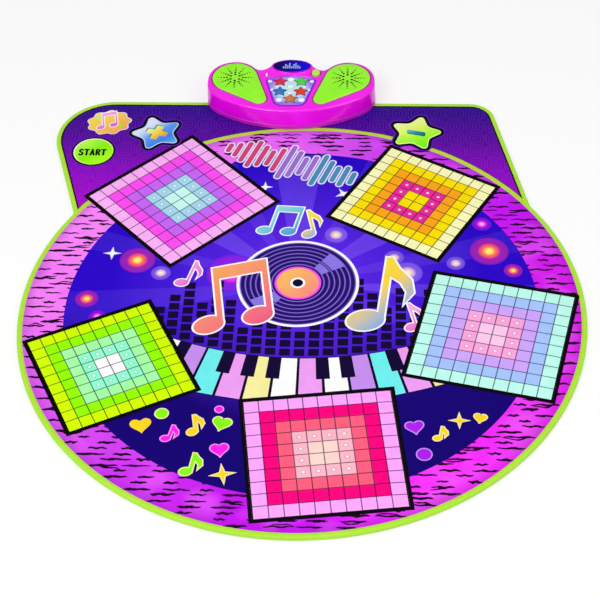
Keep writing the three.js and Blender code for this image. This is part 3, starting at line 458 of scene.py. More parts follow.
def lobe_colours(tree, place_of):
    """The back lobe's print: purple in front to deep violet behind, with faint nested rounded squares."""
    front, back, square_pitch, first_line, line_pitch = 230, 550, 34.5, 0.22, 0.33
    depth = add(tree, SEPARATE, {0: place_of}, 1)
    share = add(tree, MAP_RANGE, {0: depth, 1: front * MM, 2: back * MM})
    base = add(tree, COLOUR_RAMP, {0: share}, stops=LOBE_STOPS)
    in_cell = {0: from_cell_middle(tree, place_of, square_pitch), "Scale": 2}
    away_from = add(tree, VECTOR_MATH, in_cell, operation="SCALE")
    second = add(tree, VECTOR_MATH, {0: away_from, 1: away_from}, operation="MULTIPLY")
    fourth = add(tree, VECTOR_MATH, {0: second, 1: second}, "Value", operation="DOT_PRODUCT")
    reach = add(tree, MATH, {0: fourth, 1: 0.25}, operation="POWER")
    from_line = add(tree, MATH, {0: reach, 1: first_line}, operation="SUBTRACT")
    away = add(tree, MATH, {0: from_line, 1: line_pitch / 2}, operation="PINGPONG")
    lines = add(tree, COLOUR_RAMP, {0: away}, stops=[(0.03, 0.07), (0.07, 0)])
    return add(tree, MIX, {0: lines, MIX_A: base, MIX_B: rgb("#B878F0")}, MIX_OUT, data_type="RGBA")


RING_STOPS = [
    (0, "#F880FA"), (0.06, "#E060F2"), (0.14, "#D038F0"), (0.21, "#C814F0"), (0.26, "#CC14F4"),
    (0.33, "#FC30FF"), (0.41, "#F028F8"), (0.5, "#E020EC"), (0.6, "#C814F8"), (0.7, "#D040F4"),
    (0.8, "#EC78F4"), (0.91, "#FF88FF"), (1, "#F880FA"),
]


def ring_colours(tree, place_of):
    """The ring's print under its strokes: pinks and violets that run round the mat, painted shade at its
    edge.
    """
    patch_size, waver, shade_start, shade_end = 62.5, 30, 450, 472
    x, y = (add(tree, SEPARATE, {0: place_of}, axis) for axis in (0, 1))
    angle = add(tree, MATH, {0: y, 1: x}, operation="ARCTAN2")
    share = add(tree, MAP_RANGE, {0: angle, 1: -math.pi, 2: math.pi})
    base = add(tree, COLOUR_RAMP, {0: share}, stops=RING_STOPS)
    patches = add(tree, NOISE, {"Vector": place_of, "Scale": 1 / (patch_size * MM), "Detail": 1})
    glow = add(tree, COLOUR_RAMP, {0: patches}, stops=[(0.48, 0), (0.7, 0.45)])
    lit = add(tree, MIX, {0: glow, MIX_A: base, MIX_B: rgb("#F468FF")}, MIX_OUT, data_type="RGBA")
    # Painted shade: the ring darkens, with a ragged border, towards the tape at its outer edge.
    out = add(tree, VECTOR_MATH, {0: place_of}, "Value", operation="LENGTH")
    ragged = add(tree, MATH, {0: patches, 1: waver * MM, 2: out}, operation="MULTIPLY_ADD")
    edge = add(tree, MAP_RANGE, {0: ragged, 1: shade_start * MM, 2: shade_end * MM, 3: 0, 4: 0.45})
    return add(tree, MIX, {0: edge, MIX_A: lit, MIX_B: rgb("#7C1C98")}, MIX_OUT, data_type="RGBA")


def record_colours(tree, place_of):
    """A printed record: dark with paler grooves."""
    groove_pitch = 0.09
    out = add(tree, VECTOR_MATH, {0: from_middle(tree)}, "Value", operation="LENGTH")
    groove = add(tree, MATH, {0: out, 1: groove_pitch / 2}, operation="PINGPONG")
    share = add(tree, MAP_RANGE, {0: groove, 1: 0, 2: groove_pitch / 2})
    return add(tree, COLOUR_RAMP, {0: share}, stops=[(0, "#9C7CF0"), (0.35, "#2A1478"), (1, "#200C60")])


INKS = {
    "black": "#08030C", "letter": "#0C2008", "lime_line": "#C0D844", "white": "#FFFFFF",
    "stroke": "#18021E", "night": "#120434", "key_halo": "#5C1CB4",
    "candy_pink": "#FFB4FA", "hot_pink": "#FF50F4", "lilac": "#CC68FA", "ice_blue": "#A8DCF4",
    "ice": "#CCFFF4", "butter": "#FFFEBC", "sun_yellow": "#FFE400", "amber": "#FFA818",
    "magenta": "#F0289C", "pale_ice": "#C0FFF0", "sky": "#A8C8FF", "lavender": "#D0A8FF",
    "rose_mist": "#FFA8E0", "pale_rose": "#FFCCF0", "rose": "#FFA8FF", "crimson": "#FF0080",
    "coral": "#FF6080", "blush": "#FFB8C8", "pale_blush": "#FFD8D0", "acid": "#D4FF00",
    "lime": "#98FF00", "mint": "#A8FFA8", "aqua": "#90FFD0",
    "purple": "#B020F0", "gold": "#FFD820", "cyan": "#70F0F0", "leaf": "#88F818",
    "lit_pink": "#F0A0F4", "lit_lilac": "#C890F0", "lit_yellow": "#F8F0A0", "record_shine": "#8C78E8",
    "pale_rim": "#E8E4FF", "wave_rose": "#D04878", "wave_lilac": "#A070D0", "wave_teal": "#4890B8",
    "magenta_spot": "#FF20F0", "cream_rim": "#FFF0A8", "pink_rim": "#FF98F8", "lilac_rim": "#D098FF",
    "plus_shade": "#3C6C74", "minus_shade": "#0C6448", "plus_pale": "#C4DCFF",
    "minus_pale": "#F4FFB0", "purple_rim": "#8418C0", "lens_light": "#A8B8FF",
    "violet_rim": "#8830E4", "violet_pale": "#C090F8", "panel_ring": "#B0C8F0", "panel_light": "#F4FEFF",
    "star_line": "#503878",
}
PAINTED = {
    "lobe": lobe_colours, "ring": ring_colours, "record": record_colours,
    "stage": stage_colours(0), "beam": stage_colours(0.16), "bright_beam": stage_colours(0.34),
    "warm_glow": glow_colours("#E83890", "#FF7848", "#FFF080"),
    "pink_glow": glow_colours("#C020F0", "#FF40F0", "#FFB0FF"),
    "pale_glow": glow_colours("#B088F8", "#F0C0D0", "#FFF0C8"),
    "start": shaded_colours("#B8FF50", "#8CF810", "#A8FF20"),
    "start_rim": shaded_colours("#FFFFF0", "#F0FF90", "#B8F840"),
    "plus_blue": shaded_colours("#ECECFF", "#DCE8FF", "#64A4FC", "#3C88F0", "#60B0F4"),
    "minus_green": shaded_colours("#F4FFC0", "#E8FF70", "#A4FF30", "#60FF08", angle=-25),
    "plus_orange": shaded_colours("#E8FF98", "#F8D850", "#F4A830"),
    "minus_teal": shaded_colours("#60B8C8", "#3488B0", "#187888"),
    "note_warm": shaded_colours("#FFB060", "#F02890"),
    "note_cool": shaded_colours("#FFE850", "#FFD840", "#58A8F8", "#2858E8"),
    "note_pink": shaded_colours("#FFB0F0", "#E020C0"), "note_aqua": shaded_colours("#A8F8E0", "#2890E0"),
    "label": shaded_colours("#FFD840", "#FF6890"), "badge": shaded_colours("#FFE050", "#F8B060"),
}
made_inks = {}


def ink(name):
    """The printed vinyl of a colour, made when it is first wanted."""
    if name not in made_inks:
        made_inks[name] = vinyl("printed_vinyl_" + name, PAINTED.get(name) or INKS[name])
    return made_inks[name]


# Printed sheets


def edge_distance(points, outlines):
    """The distance from each point to the nearest of the closed outlines."""
    nearest = np.full(len(points), np.inf)
    for outline in outlines:
        ring = np.array(outline)
        for start, step in zip(ring, np.roll(ring, -1, 0) - ring):
            along = np.clip(((points - start) @ step) / (step @ step), 0, 1)
            nearest = np.minimum(nearest, np.hypot(*(points - start - along[:, None] * step).T))
    return nearest


def smooth_step(value):
    clipped = np.clip(value, 0, 1)
    return clipped * clipped * (3 - 2 * clipped)


def cut_along(outline, holes, prints, spacing):
    """Cuts a sheet along its prints: the places, the triangles and which print lies on top of each."""
    loops = [outline, *holes, *[points for _, points, _, _ in prints]]
    flat_points = [Vector(p) for loop in loops for p in loop]
    faces, used = [], 0
    for loop in loops:
        faces.append(list(range(used, used + len(loop))))
        used += len(loop)
    (x0, y0), (x1, y1) = np.min(outline, 0), np.max(outline, 0)
    for row in range(int((y1 - y0) / spacing) + 1):
        shift = spacing / 2 if row % 2 else 0
        for column in range(int((x1 - x0) / spacing) + 1):
            flat_points.append(Vector((x0 + shift + column * spacing, y0 + row * spacing)))
    places, _, triangles, _, _, from_loops = delaunay_2d_cdt(flat_points, [], faces, 1, 1e-4, True)
    first_print = 1 + len(holes)
    kept, owners = [], []
    for triangle, owner in zip(triangles, from_loops):
        if 0 in owner and not any(0 < loop < first_print for loop in owner):
            kept.append(triangle)
            owners.append(max(owner) - first_print)
    used_places = sorted({i for triangle in kept for i in triangle})
    order = {old: new for new, old in enumerate(used_places)}
    kept = [[order[i] for i in triangle] for triangle in kept]
    return np.array([places[i][:] for i in used_places]), kept, owners


def printed_sheet(name, outline, holes, prints, height_of, thickness, spacing):
    """A vinyl sheet cut along its printed shapes, so that every printed edge is sharp.

    prints are (ink, points, centre, reach), each printed over those before it. The UV map runs over a
    print's own square, from its centre and reach.
    """
    at, triangles, owners = cut_along(outline, holes, prints, spacing)
    ob = mesh_object(name, [Vector((*p, z)) * MM for p, z in zip(at, height_of(at))], triangles)
    names = list(dict.fromkeys(ink_name for ink_name, _, _, _ in prints))
    for ink_name in names:
        ob.data.materials.append(ink(ink_name))
    uv = ob.data.uv_layers.new(name="UVMap").data
    for face, owner in zip(ob.data.polygons, owners):
        ink_name, _, (cx, cy), reach = prints[owner]
        face.material_index = names.index(ink_name)
        for loop in face.loop_indices:
            x, y = at[ob.data.loops[loop].vertex_index]
            uv[loop].uv = (0.5 + (x - cx) / (2 * reach), 0.5 + (y - cy) / (2 * reach))
    return apply(ob, "SOLIDIFY", thickness=thickness * MM, offset=-1)


def lay_flat(ob, width, length, rests_on):
    """Hands back a sheet that lies flat; its width, length and rests_on are not used."""
    return (ob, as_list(rests_on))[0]


def mat_outline():
    """The mat's outline, anticlockwise from the right junction round the lobe and the front."""

    def on_circle(angle):
        return Vector(arc(0, 0, MAT_RADIUS, angle, angle, 1)[0])

    def tangent(angle, along):
        p = on_circle(angle)
        return p + along * Vector((-p.y, p.x))

    right, left = on_circle(RIGHT_JUNCTION), on_circle(LEFT_JUNCTION)
    step = math.degrees(JUNCTION_RADIUS / MAT_RADIUS)
    return [
        *round_corner(tangent(RIGHT_JUNCTION, -1), right, RIGHT_CORNER, JUNCTION_RADIUS, 4),
        *round_corner(right, RIGHT_CORNER, LEFT_CORNER, RIGHT_CORNER_RADIUS, 16),
        *round_corner(RIGHT_CORNER, LEFT_CORNER, left, LEFT_CORNER_RADIUS, 20),
        *round_corner(LEFT_CORNER, left, tangent(LEFT_JUNCTION, 1), JUNCTION_RADIUS, 4),
        *arc(0, 0, MAT_RADIUS, LEFT_JUNCTION + step, RIGHT_JUNCTION + 360 - step, 180),
    ]


OUTLINE = mat_outline()


def whole(ink_name, points, centre=(0, 0), reach=500):
    """A print with its own square for the UV map."""
    return (ink_name, points, centre, reach)


# The mat's printed design


def grown(points, distance):
    """A closed outline, anticlockwise, moved outwards by a distance."""
    return inset(points, -distance)


def to_rim(x, y, angle, radius):
    """Where a ray from a point inside a circle about the origin meets it."""
    dx, dy = math.cos(math.radians(angle)), math.sin(math.radians(angle))
    along = x * dx + y * dy
    reach = math.sqrt(along * along - (x * x + y * y - radius * radius)) - along
    return (x + dx * reach, y + dy * reach)


def sector(cx, cy, inner, outer, start, end, steps=4):
    return [*arc(cx, cy, outer, start, end, steps), *arc(cx, cy, inner, end, start, steps)]


def capsule(x0, y0, x1, y1, width):
    """A bar with round ends."""
    along = math.degrees(math.atan2(y1 - y0, x1 - x0))
    far_end = arc(x1, y1, width / 2, along - 90, along + 90, 6)
    return [*far_end, *arc(x0, y0, width / 2, along + 90, along + 270, 6)]


def heart(steps):
    """A heart by its formula, anticlockwise."""
    angles = [-2 * math.pi * (i + 0.5) / steps for i in range(steps)]
    return [(16 * math.sin(a) ** 3,
             13 * math.cos(a) - 5 * math.cos(2 * a) - 2 * math.cos(3 * a) - math.cos(4 * a)) for a in angles]


QUAVER = [
    place(ellipse(0, 0, 18, 13, 28), 0, 0, 20),
    rectangle(11, 2, 17, 88),
    [(11, 66), (28, 54), (35, 42), (34, 26), (42, 42), (38, 60), (25, 74), (17, 88), (11, 88)],
]
PAIR = [
    place(ellipse(0, 0, 17, 12, 28), 0, 0, 20), place(ellipse(0, 0, 17, 12, 28), 54, 8, 20),
    rectangle(10, 2, 16, 84), rectangle(64, 10, 70, 92), [(10, 68), (70, 76), (70, 94), (10, 86)],
]
SPARKLE = [star(20, 5.5, tips=4)]
DISC = [circle(0, 0, 12, 28)]
HEART = [heart(36)]
BOLD_NOTE = [
    place(ellipse(0, 0, 17, 13, 28), 0, 0, 20), rectangle(8, 0, 17, 62),
    [(8, 44), (20, 40), (30, 28), (31, 14), (40, 28), (36, 46), (24, 56), (17, 66), (8, 66)],
]


def motif(ink_name, shapes, x, y, turn=0, scale=1, edge=0, edge_ink="white"):
    """Shapes in one ink at a place on the mat, over a rim in another ink."""
    reach = max(abs(c) for points in shapes for p in points for c in p) * scale
    prints = []
    for points in shapes:
        if edge:
            rim = place(grown(points, edge / scale), x, y, turn, scale)
            prints.append(whole(edge_ink, rim, (x, y), reach))
    return prints + [whole(ink_name, place(points, x, y, turn, scale), (x, y), reach) for points in shapes]


def brush_stroke(line):
    """A stroke's outline from its (x, y, half thickness) along its length."""
    return [*[(x, y - half) for x, y, half in line], *[(x, y + half) for x, y, half in reversed(line)]]


def wavy_strokes(start, end, y, thick, dice, forked):
    """A wavy stroke, thickest near its start; a forked one has a second strand beside it."""
    steps, gap, wave, thinnest = 12, 5.2, 12, 0.7
    bow, phase, side = dice.uniform(0.3, 1.1), dice.uniform(0, 2 * math.pi), dice.choice((-1, 1))
    rejoins = dice.random() < 0.5
    strands = [(0, 1, 0, thick)] + ([(0.2, 0.85, side * gap, 0.7 * thick)] if forked else [])
    shapes = []
    for first, span, offset, most in strands:
        line = []
        for i in range(steps + 1):
            share = i / steps
            along = first + span * share
            away = offset * (math.sin(math.pi * share) if rejoins else math.sin(math.pi * share / 2))
            middle = y + bow * math.sin(phase + wave * along) + away
            half = most / 2 * math.sin(math.pi * share**0.8) ** 0.4 * dice.uniform(0.6, 1.1)
            line.append((start + (end - start) * along, middle, max(thinnest, half)))
        shapes.append(brush_stroke(line if end > start else line[::-1]))
    return shapes


def ring_strokes():
    """Wavy strokes across the ring, row by row, in turn from its outer and from its inner edge."""
    row_pitch, row_shift, stroke_pitch, least, most = 11, 1.5, 56, 18, 50
    fork_least, fork_share, edge_gap = 34, 0.3, 0.1
    dice = random.Random(11)
    prints = []
    rows = int(RING_RADIUS / row_pitch)
    for row in range(-rows, rows + 1):
        y = row * row_pitch + dice.uniform(-row_shift, row_shift)
        for side in (-1, 1):
            out = math.sqrt(max(RING_RADIUS**2 - y * y, 0)) - (row % 2) * stroke_pitch / 2
            while out > 0:
                length, thick = dice.uniform(least, most), dice.uniform(4, 6.4)
                forked = length > fork_least and dice.random() < fork_share
                shapes = wavy_strokes(side * out, side * (out - length), y, thick, dice, forked)
                if math.hypot(out, y) > STAGE_RADIUS:
                    prints += [whole("stroke", within(points, RING_RADIUS - edge_gap)) for points in shapes]
                out -= stroke_pitch * dice.uniform(0.85, 1.15)
    return prints


def within(points, radius):
    """Points brought in to a circle about the origin where they lie outside it."""
    shares = [min(1, radius / math.hypot(x, y)) for x, y in points]
    return [(x * share, y * share) for (x, y), share in zip(points, shares)]


def zone_prints():
    """The border line, the lobe, the printed arc that carries on the binding, the ring and the centre."""
    border, arc_line = 2.6, 1.2
    inner_edge = MAT_RADIUS - TAPE_LAP - border + arc_line
    return [
        whole("black", OUTLINE), whole("lobe", inset(OUTLINE, TAPE_LAP + border)),
        whole("black", circle(0, 0, MAT_RADIUS + arc_line, 240)),
        whole("lime_line", circle(0, 0, MAT_RADIUS, 240)), whole("black", circle(0, 0, inner_edge, 240)),
        whole("ring", circle(0, 0, RING_RADIUS, 240)), *ring_strokes(),
        whole("stage", circle(0, 0, STAGE_RADIUS, 200)),
    ]


BEAMS = [
    ("beam", 12, 9), ("bright_beam", 34, 14), ("beam", 62, 8), ("bright_beam", 84, 16), ("beam", 112, 9),
    ("bright_beam", 134, 13), ("beam", 160, 8), ("beam", 184, 12), ("beam", 330, 12), ("bright_beam", 352, 8),
]


def beam_prints():
    """Beams of light that fan out from behind the record, each by its first angle and its width."""
    prints = []
    for ink_name, start, width in BEAMS:
        edge = [to_rim(*RECORD, start + width * i / 4, STAGE_RADIUS - 1) for i in range(5)]
        prints.append(whole(ink_name, [RECORD, *edge]))
    return prints


GLOWS = [
    ("warm_glow", 308, 142, 34), ("pink_glow", -118, 84, 44), ("warm_glow", -278, 112, 31),
    ("pink_glow", 298, 208, 17), ("pale_glow", 172, 88, 26), ("pale_glow", 150, 124, 17),
    ("pale_glow", 252, 112, 16), ("pale_glow", -236, 82, 17), ("pale_glow", 52, 178, 20),
    ("warm_glow", -352, 20, 20), ("pink_glow", -330, -20, 15), ("warm_glow", 346, 96, 16),
]


def glow_prints():
    return [whole(name, circle(x, y, radius, 32), (x, y), radius) for name, x, y, radius in GLOWS]


KEYBOARD = (0, 420)
KEYBOARD_INNER = 526
KEYBOARD_OUTER = 622


def level_prints():
    """Dark level bars that stand on the keyboard's far edge."""
    pitch, width, block, gap = 23, 17, 15, 4
    heights = [3, 5, 7, 5, 8, 6, 3, 4, 6, 4, 3, 5, 8, 6, 9, 7, 5, 7, 4, 6, 3]
    prints = []
    for i, count in enumerate(heights):
        x = (i - (len(heights) - 1) / 2) * pitch
        base = KEYBOARD[1] - math.sqrt(KEYBOARD_INNER**2 - x * x) + gap
        for step in range(count):
            y = base + step * (block + gap)
            prints.append(whole("night", rectangle(x - width / 2, y, x + width / 2, y + block)))
    return prints


def keyboard_prints():
    """A curved keyboard in the colours of a lit dance floor."""
    cx, cy = KEYBOARD
    first, keys, key_width, gap, line = -118, 14, 4, 0.22, 1.5
    dark_length, dark_half = 46, 1.1
    colours = ["lit_pink", "white", "lit_lilac", "cyan", "lit_pink", "lit_yellow", "white"]
    last, inner, outer = first + keys * key_width, KEYBOARD_INNER + line, KEYBOARD_OUTER - line
    prints = [whole("night", sector(cx, cy, KEYBOARD_INNER, KEYBOARD_OUTER, first - gap, last + gap, 60))]
    for i in range(keys):
        start = first + i * key_width
        key = sector(cx, cy, inner, outer, start + gap, start + key_width - gap)
        prints.append(whole(colours[i % len(colours)], key))
    for i in range(1, keys):
        if i % 7 not in (0, 3):
            at = first + i * key_width
            key = sector(cx, cy, KEYBOARD_INNER, KEYBOARD_INNER + dark_length, at - dark_half, at + dark_half)
            prints.append(whole("night", key))
    return prints


def record_prints():
    """The record in the middle, with its label and its shine."""
    x, y = RECORD
    parts = [("white", 1.05), ("record", 1), ("hot_pink", 0.4), ("label", 0.36), ("white", 0.13),
             ("night", 0.09)]
    prints = []
    for ink_name, share in parts:
        reach = RECORD_RADIUS * share
        prints.append(whole(ink_name, circle(x, y, reach, 72), (x, y), RECORD_RADIUS))
    for start in (28, 208):
        for inner, outer in ((0.46, 0.6), (0.66, 0.9)):
            shine = sector(x, y, inner * RECORD_RADIUS, outer * RECORD_RADIUS, start, start + 26, 8)
            prints.append(whole("record_shine", shine))
    return prints


def wave_prints():
    """A tilted row of round-ended sound bars, from rose to teal."""
    x, y, turn, pitch, width, rim = -33, 362, -20, 15.5, 9, 2.6
    heights = [16, 30, 48, 66, 50, 34, 56, 84, 64, 40, 58, 76, 54, 34, 46, 24]
    colours = ["wave_rose"] * 7 + ["wave_lilac"] * 4 + ["wave_teal"] * 5
    prints = []
    for layer, extra in (("pale_rim", 2 * rim), (None, 0)):
        for i, height in enumerate(heights):
            along = (i - (len(heights) - 1) / 2) * pitch
            bar = capsule(along, -height / 2, along, height / 2, width + extra)
            prints.append(whole(layer or colours[i], place(bar, x, y, turn)))
    return prints


NOTES = [
    ("note_warm", PAIR, -148, -36, 8, 1.5, 3), ("note_cool", QUAVER, 104, -22, -6, 1.7, 3),
    ("note_pink", QUAVER, 178, -36, 14, 0.6, 2.2), ("note_aqua", PAIR, -70, 188, -12, 0.75, 2.2),
    ("note_pink", QUAVER, -200, 60, -14, 0.62, 2), ("note_cool", QUAVER, 6, 180, 12, 0.66, 2.2),
]
SMALL = [
    ("gold", HEART, -236, -250, 12, 1.05), ("magenta_spot", BOLD_NOTE, -196, -276, -12, 0.42),
    ("leaf", DISC, -206, -226, 0, 0.8), ("gold", BOLD_NOTE, -156, -262, 10, 0.5),
    ("leaf", HEART, -112, -244, -14, 0.9), ("magenta_spot", HEART, -112, -296, 8, 0.85),
    ("leaf", BOLD_NOTE, -160, -340, -8, 0.56), ("gold", SPARKLE, -104, -344, 10, 0.8),
    ("leaf", SPARKLE, -252, -206, 0, 0.6), ("magenta_spot", DISC, -118, -216, 0, 0.5),
    ("purple", HEART, 182, -246, 10, 0.85), ("gold", BOLD_NOTE, 216, -268, -10, 0.36),
    ("purple", DISC, 196, -300, 0, 0.9), ("gold", SPARKLE, 250, -232, 0, 0.6),
    ("gold", HEART, 282, -226, -10, 0.6), ("white", SPARKLE, -104, 248, 10, 0.6),
    ("white", SPARKLE, 62, 282, 30, 0.5), ("white", SPARKLE, -74, 298, 0, 0.4),
    ("white", SPARKLE, 80, 236, 0, 0.45), ("white", SPARKLE, 230, 300, 20, 0.4),
    ("white", SPARKLE, -322, 128, 0, 0.5),
]
SMALL_RIMS = {
    "gold": "cream_rim", "leaf": "cream_rim", "magenta_spot": "pink_rim", "purple": "lilac_rim",
    "white": "pale_rim",
}


def small_prints():
    """Notes, hearts, discs and sparkles, each over its own rim."""
    small_edge = 1.8
    prints = []
    for ink_name, shapes, x, y, turn, scale, edge in NOTES:
        prints += motif(ink_name, shapes, x, y, turn, scale, edge)
    for ink_name, shapes, x, y, turn, scale in SMALL:
        prints += motif(ink_name, shapes, x, y, turn, scale, small_edge, SMALL_RIMS[ink_name])
    return prints


def badge_prints():
    """A scalloped badge with a note, in the lobe's left corner."""
    x, y, turn, half_width, half_depth, rim = -366, 470, 10, 37, 31, 1.6
    scallops, scallop_share, steps = 9, 0.07, 90
    edge = []
    for i in range(steps):
        angle = math.radians(360 * i / steps)
        swell = 1 + scallop_share * math.cos(scallops * angle)
        edge.append((half_width * math.cos(angle) * swell, half_depth * math.sin(angle) * swell))
    prints = motif("badge", [edge], x, y, turn, 1, rim, "pale_rim")
    prints += motif("note_pink", PAIR, x - 14, y - 14, turn, 0.44, rim)
    prints += motif("aqua", SPARKLE, x - 22, y + 14, 0, 0.4)
    return prints + motif("lime", DISC, x + 22, y - 8, 0, 0.34)


# Pads and keys


def square(x, y, side, turn):
    return place(rectangle(-side / 2, -side / 2, side / 2, side / 2), x, y, turn)


PAD_INKS = {
    "back_left": ["candy_pink", "hot_pink", "lilac", "ice_blue", "ice"],
    "back_right": ["butter", "sun_yellow", "amber", "magenta", "sun_yellow"],
    "right": ["pale_ice", "sky", "lavender", "rose_mist", "pale_rose"],
    "front": ["rose", "crimson", "coral", "blush", "pale_blush"],
    "left": ["acid", "lime", "mint", "aqua", "white"],
}
PAD_FRAME = 5.5
WELD_STEPS = (0.4, 0.9, 1.4)
PAD_CELLS = 10
GRID_LINE = 1.7


def mixed(code, other, share):
    """The hex code that lies a share of the way from one code to another."""
    parts = [round(a * (1 - share) + b * share) for a, b in zip(channels(code), channels(other))]
    return "#" + "".join(f"{part:02X}" for part in parts)


for ring_inks in PAD_INKS.values():
    for ring_ink in ring_inks:
        INKS[ring_ink + "_cell_line"] = mixed(INKS[ring_ink], "#180828", 0.6)
    INKS[ring_inks[3] + "_dot_rim"] = mixed(INKS[ring_inks[3]], "#705878", 0.4)
    INKS[ring_inks[3] + "_dot"] = mixed(INKS[ring_inks[3]], "#FFFFFF", 0.75)


def pad_side(name):
    """A square's side from the box round it when it is turned."""
    turn = math.radians(PAD_TURNS[name])
    return extent(name + "_pad", 0) / (abs(math.cos(turn)) + abs(math.sin(turn)))


def pad_prints(name, side, x, y, turn):
    """Nested rings of cells inside a dark seam, with pale dots in the fourth ring.

    Every ring but the outermost has lines along its border too.
    """
    dots_along, rim_radius, dot_radius = 4, 3.8, 2.8
    cell = (side - 2 * SEAM_MARGIN) / PAD_CELLS
    prints = [whole("black", square(x, y, side - 2 * d, turn)) for d in (0, *WELD_STEPS)]
    for ring, ink_name in enumerate(PAD_INKS[name]):
        half_cells = PAD_CELLS // 2 - ring
        half = half_cells * cell
        prints.append(whole(ink_name, square(x, y, 2 * half, turn)))
        first, reach = (0, half + GRID_LINE / 2) if ring else (1, half)
        for line in range(first, 2 * half_cells + 1 - first):
            at = line * cell - half
            for bar in (rectangle(at - GRID_LINE / 2, -reach, at + GRID_LINE / 2, reach),
                        rectangle(-reach, at - GRID_LINE / 2, reach, at + GRID_LINE / 2)):
                prints.append(whole(ink_name + "_cell_line", place(bar, x, y, turn)))
    dotted = PAD_INKS[name][3]
    shift = (dots_along - 1) / 2
    for row in range(dots_along):
        for column in range(dots_along):
            if row in (0, dots_along - 1) or column in (0, dots_along - 1):
                at = place([((column - shift) * cell, (row - shift) * cell)], x, y, turn)[0]
                prints.append(whole(dotted + "_dot_rim", circle(*at, rim_radius, 20)))
                prints.append(whole(dotted + "_dot", circle(*at, dot_radius, 16)))
    return prints


def frame_prints():
    """The dark frame printed on the cover round each pad's window."""
    prints = []
    for name in PAD_INKS:
        side = pad_side(name) + 2 * (WINDOW_GAP + PAD_FRAME)
        prints.append(whole("black", square(*middle_of(name + "_pad"), side, PAD_TURNS[name])))
    return prints


def make_panel(name, node, outline, prints, size, spacing, groove_at, groove_half, crown, crown_reach):
    """The printed panel of a pad or key, with a pressed groove along its edge and a faint crown inside it."""
    groove_depth = 0.4

    def height_of(points):
        away = edge_distance(points, [outline])
        groove = 1 - smooth_step(np.abs(away - groove_at) / groove_half)
        return COVER_TOP - groove_depth * groove + crown * smooth_step((away - groove_at) / crown_reach)

    panel = printed_sheet(name + "_panel", outline, [], prints, height_of, COVER_THICK, spacing)
    dress(panel, [], node, [node], 60)
    lay_flat(panel, *size, [name + "_foam"])


def make_pads():
    """The five dance pads."""
    for name in PAD_INKS:
        x, y = middle_of(name + "_pad")
        side, turn = pad_side(name), PAD_TURNS[name]
        prints = pad_prints(name, side, x, y, turn)
        make_panel(name, name + "_pad", square(x, y, side, turn), prints, (side, side), spacing=8,
                   groove_at=WELD_STEPS[1], groove_half=0.7, crown=0.6, crown_reach=24)


LETTERS = {
    "S": [[(7.4, 11.8), (5.6, 13.4), (2.6, 13.4), (0.9, 11.8), (0.9, 9.4), (2.6, 7.7), (5.6, 6.5),
           (7.3, 4.8), (7.3, 2.4), (5.6, 0.7), (2.4, 0.7), (0.5, 2.3)]],
    "T": [[(0.2, 13.2), (7.8, 13.2)], [(4, 13.2), (4, 0.6)]],
    "A": [[(0.4, 0.6), (4, 13.4), (7.6, 0.6)], [(1.6, 4.4), (6.4, 4.4)]],
    "R": [[(0.9, 0.6), (0.9, 13.2), (5, 13.2), (7.1, 11.7), (7.1, 8.7), (5, 7.1), (0.9, 7.1)],
          [(4.4, 7.1), (7.6, 0.6)]],
}


def word_prints(word, x, y):
    """Plain block letters, stroke by stroke."""
    pitch, weight, narrow, taller, letter_width, letter_middle = 10, 3.8, 0.8, 1.12, 8, 7
    prints = []
    for i, letter in enumerate(word):
        middle = x + (i - (len(word) - 1) / 2) * pitch
        for line in LETTERS[letter]:
            at = place([(narrow * (px - letter_width / 2), taller * (py - letter_middle)) for px, py in line],
                       middle, y)
            prints += [whole("letter", capsule(*a, *b, weight)) for a, b in zip(at, at[1:])]
    return prints


START_RADIUS = extent("start_key", 0) / 2
KEY_TIP, KEY_VALLEY, KEY_TIP_ROUNDING, KEY_VALLEY_ROUNDING = 57, 31, 9, 12
KEY_TURNS = {"plus": 181, "minus": 4}
KEY_SHARES = {"plus": (-0.602, 0.963), "minus": (0.409, 0.972)}


def key_star(name, distance=0):
    x, y = (share * MAT_RADIUS for share in KEY_SHARES[name])
    points = star(KEY_TIP, KEY_VALLEY, KEY_TIP_ROUNDING, KEY_VALLEY_ROUNDING)
    return place(inset(points, distance), x, y, KEY_TURNS[name])


def sign_prints(name, x, y):
    """The key's plus or minus sign, over a darker one that lies a little aside, so that it looks raised."""
    arms = {"plus": ("plus_orange", -17, 38, 13, -1.5, 2.2), "minus": ("minus_teal", -14, 33, 9.5, 1, -2)}
    corner_radius = 2.4
    ink_name, tilt, length, width, shade_x, shade_y = arms[name]
    bars = [rectangle(-length / 2, -width / 2, length / 2, width / 2)]
    if name == "plus":
        bars.append(rectangle(-width / 2, -length / 2, width / 2, length / 2))
    soft_bars = [rounded([(px, py, corner_radius) for px, py in bar], 4) for bar in bars]
    shade = motif(name + "_shade", soft_bars, x + shade_x, y + shade_y, tilt)
    return shade + motif(ink_name, soft_bars, x, y, tilt)


def halo_prints():
    """A dark line and outside it a lighter violet halo, both on the cover round each key."""
    prints = []
    for ink_name, star_width, round_width in (("key_halo", 5.4, 3.4), ("black", 3, 1.8)):
        shapes = [circle(*middle_of("start_key"), START_RADIUS + round_width, 64)]
        shapes += [key_star(name, -star_width) for name in KEY_TURNS]
        prints += [whole(ink_name, points) for points in shapes]
    return prints


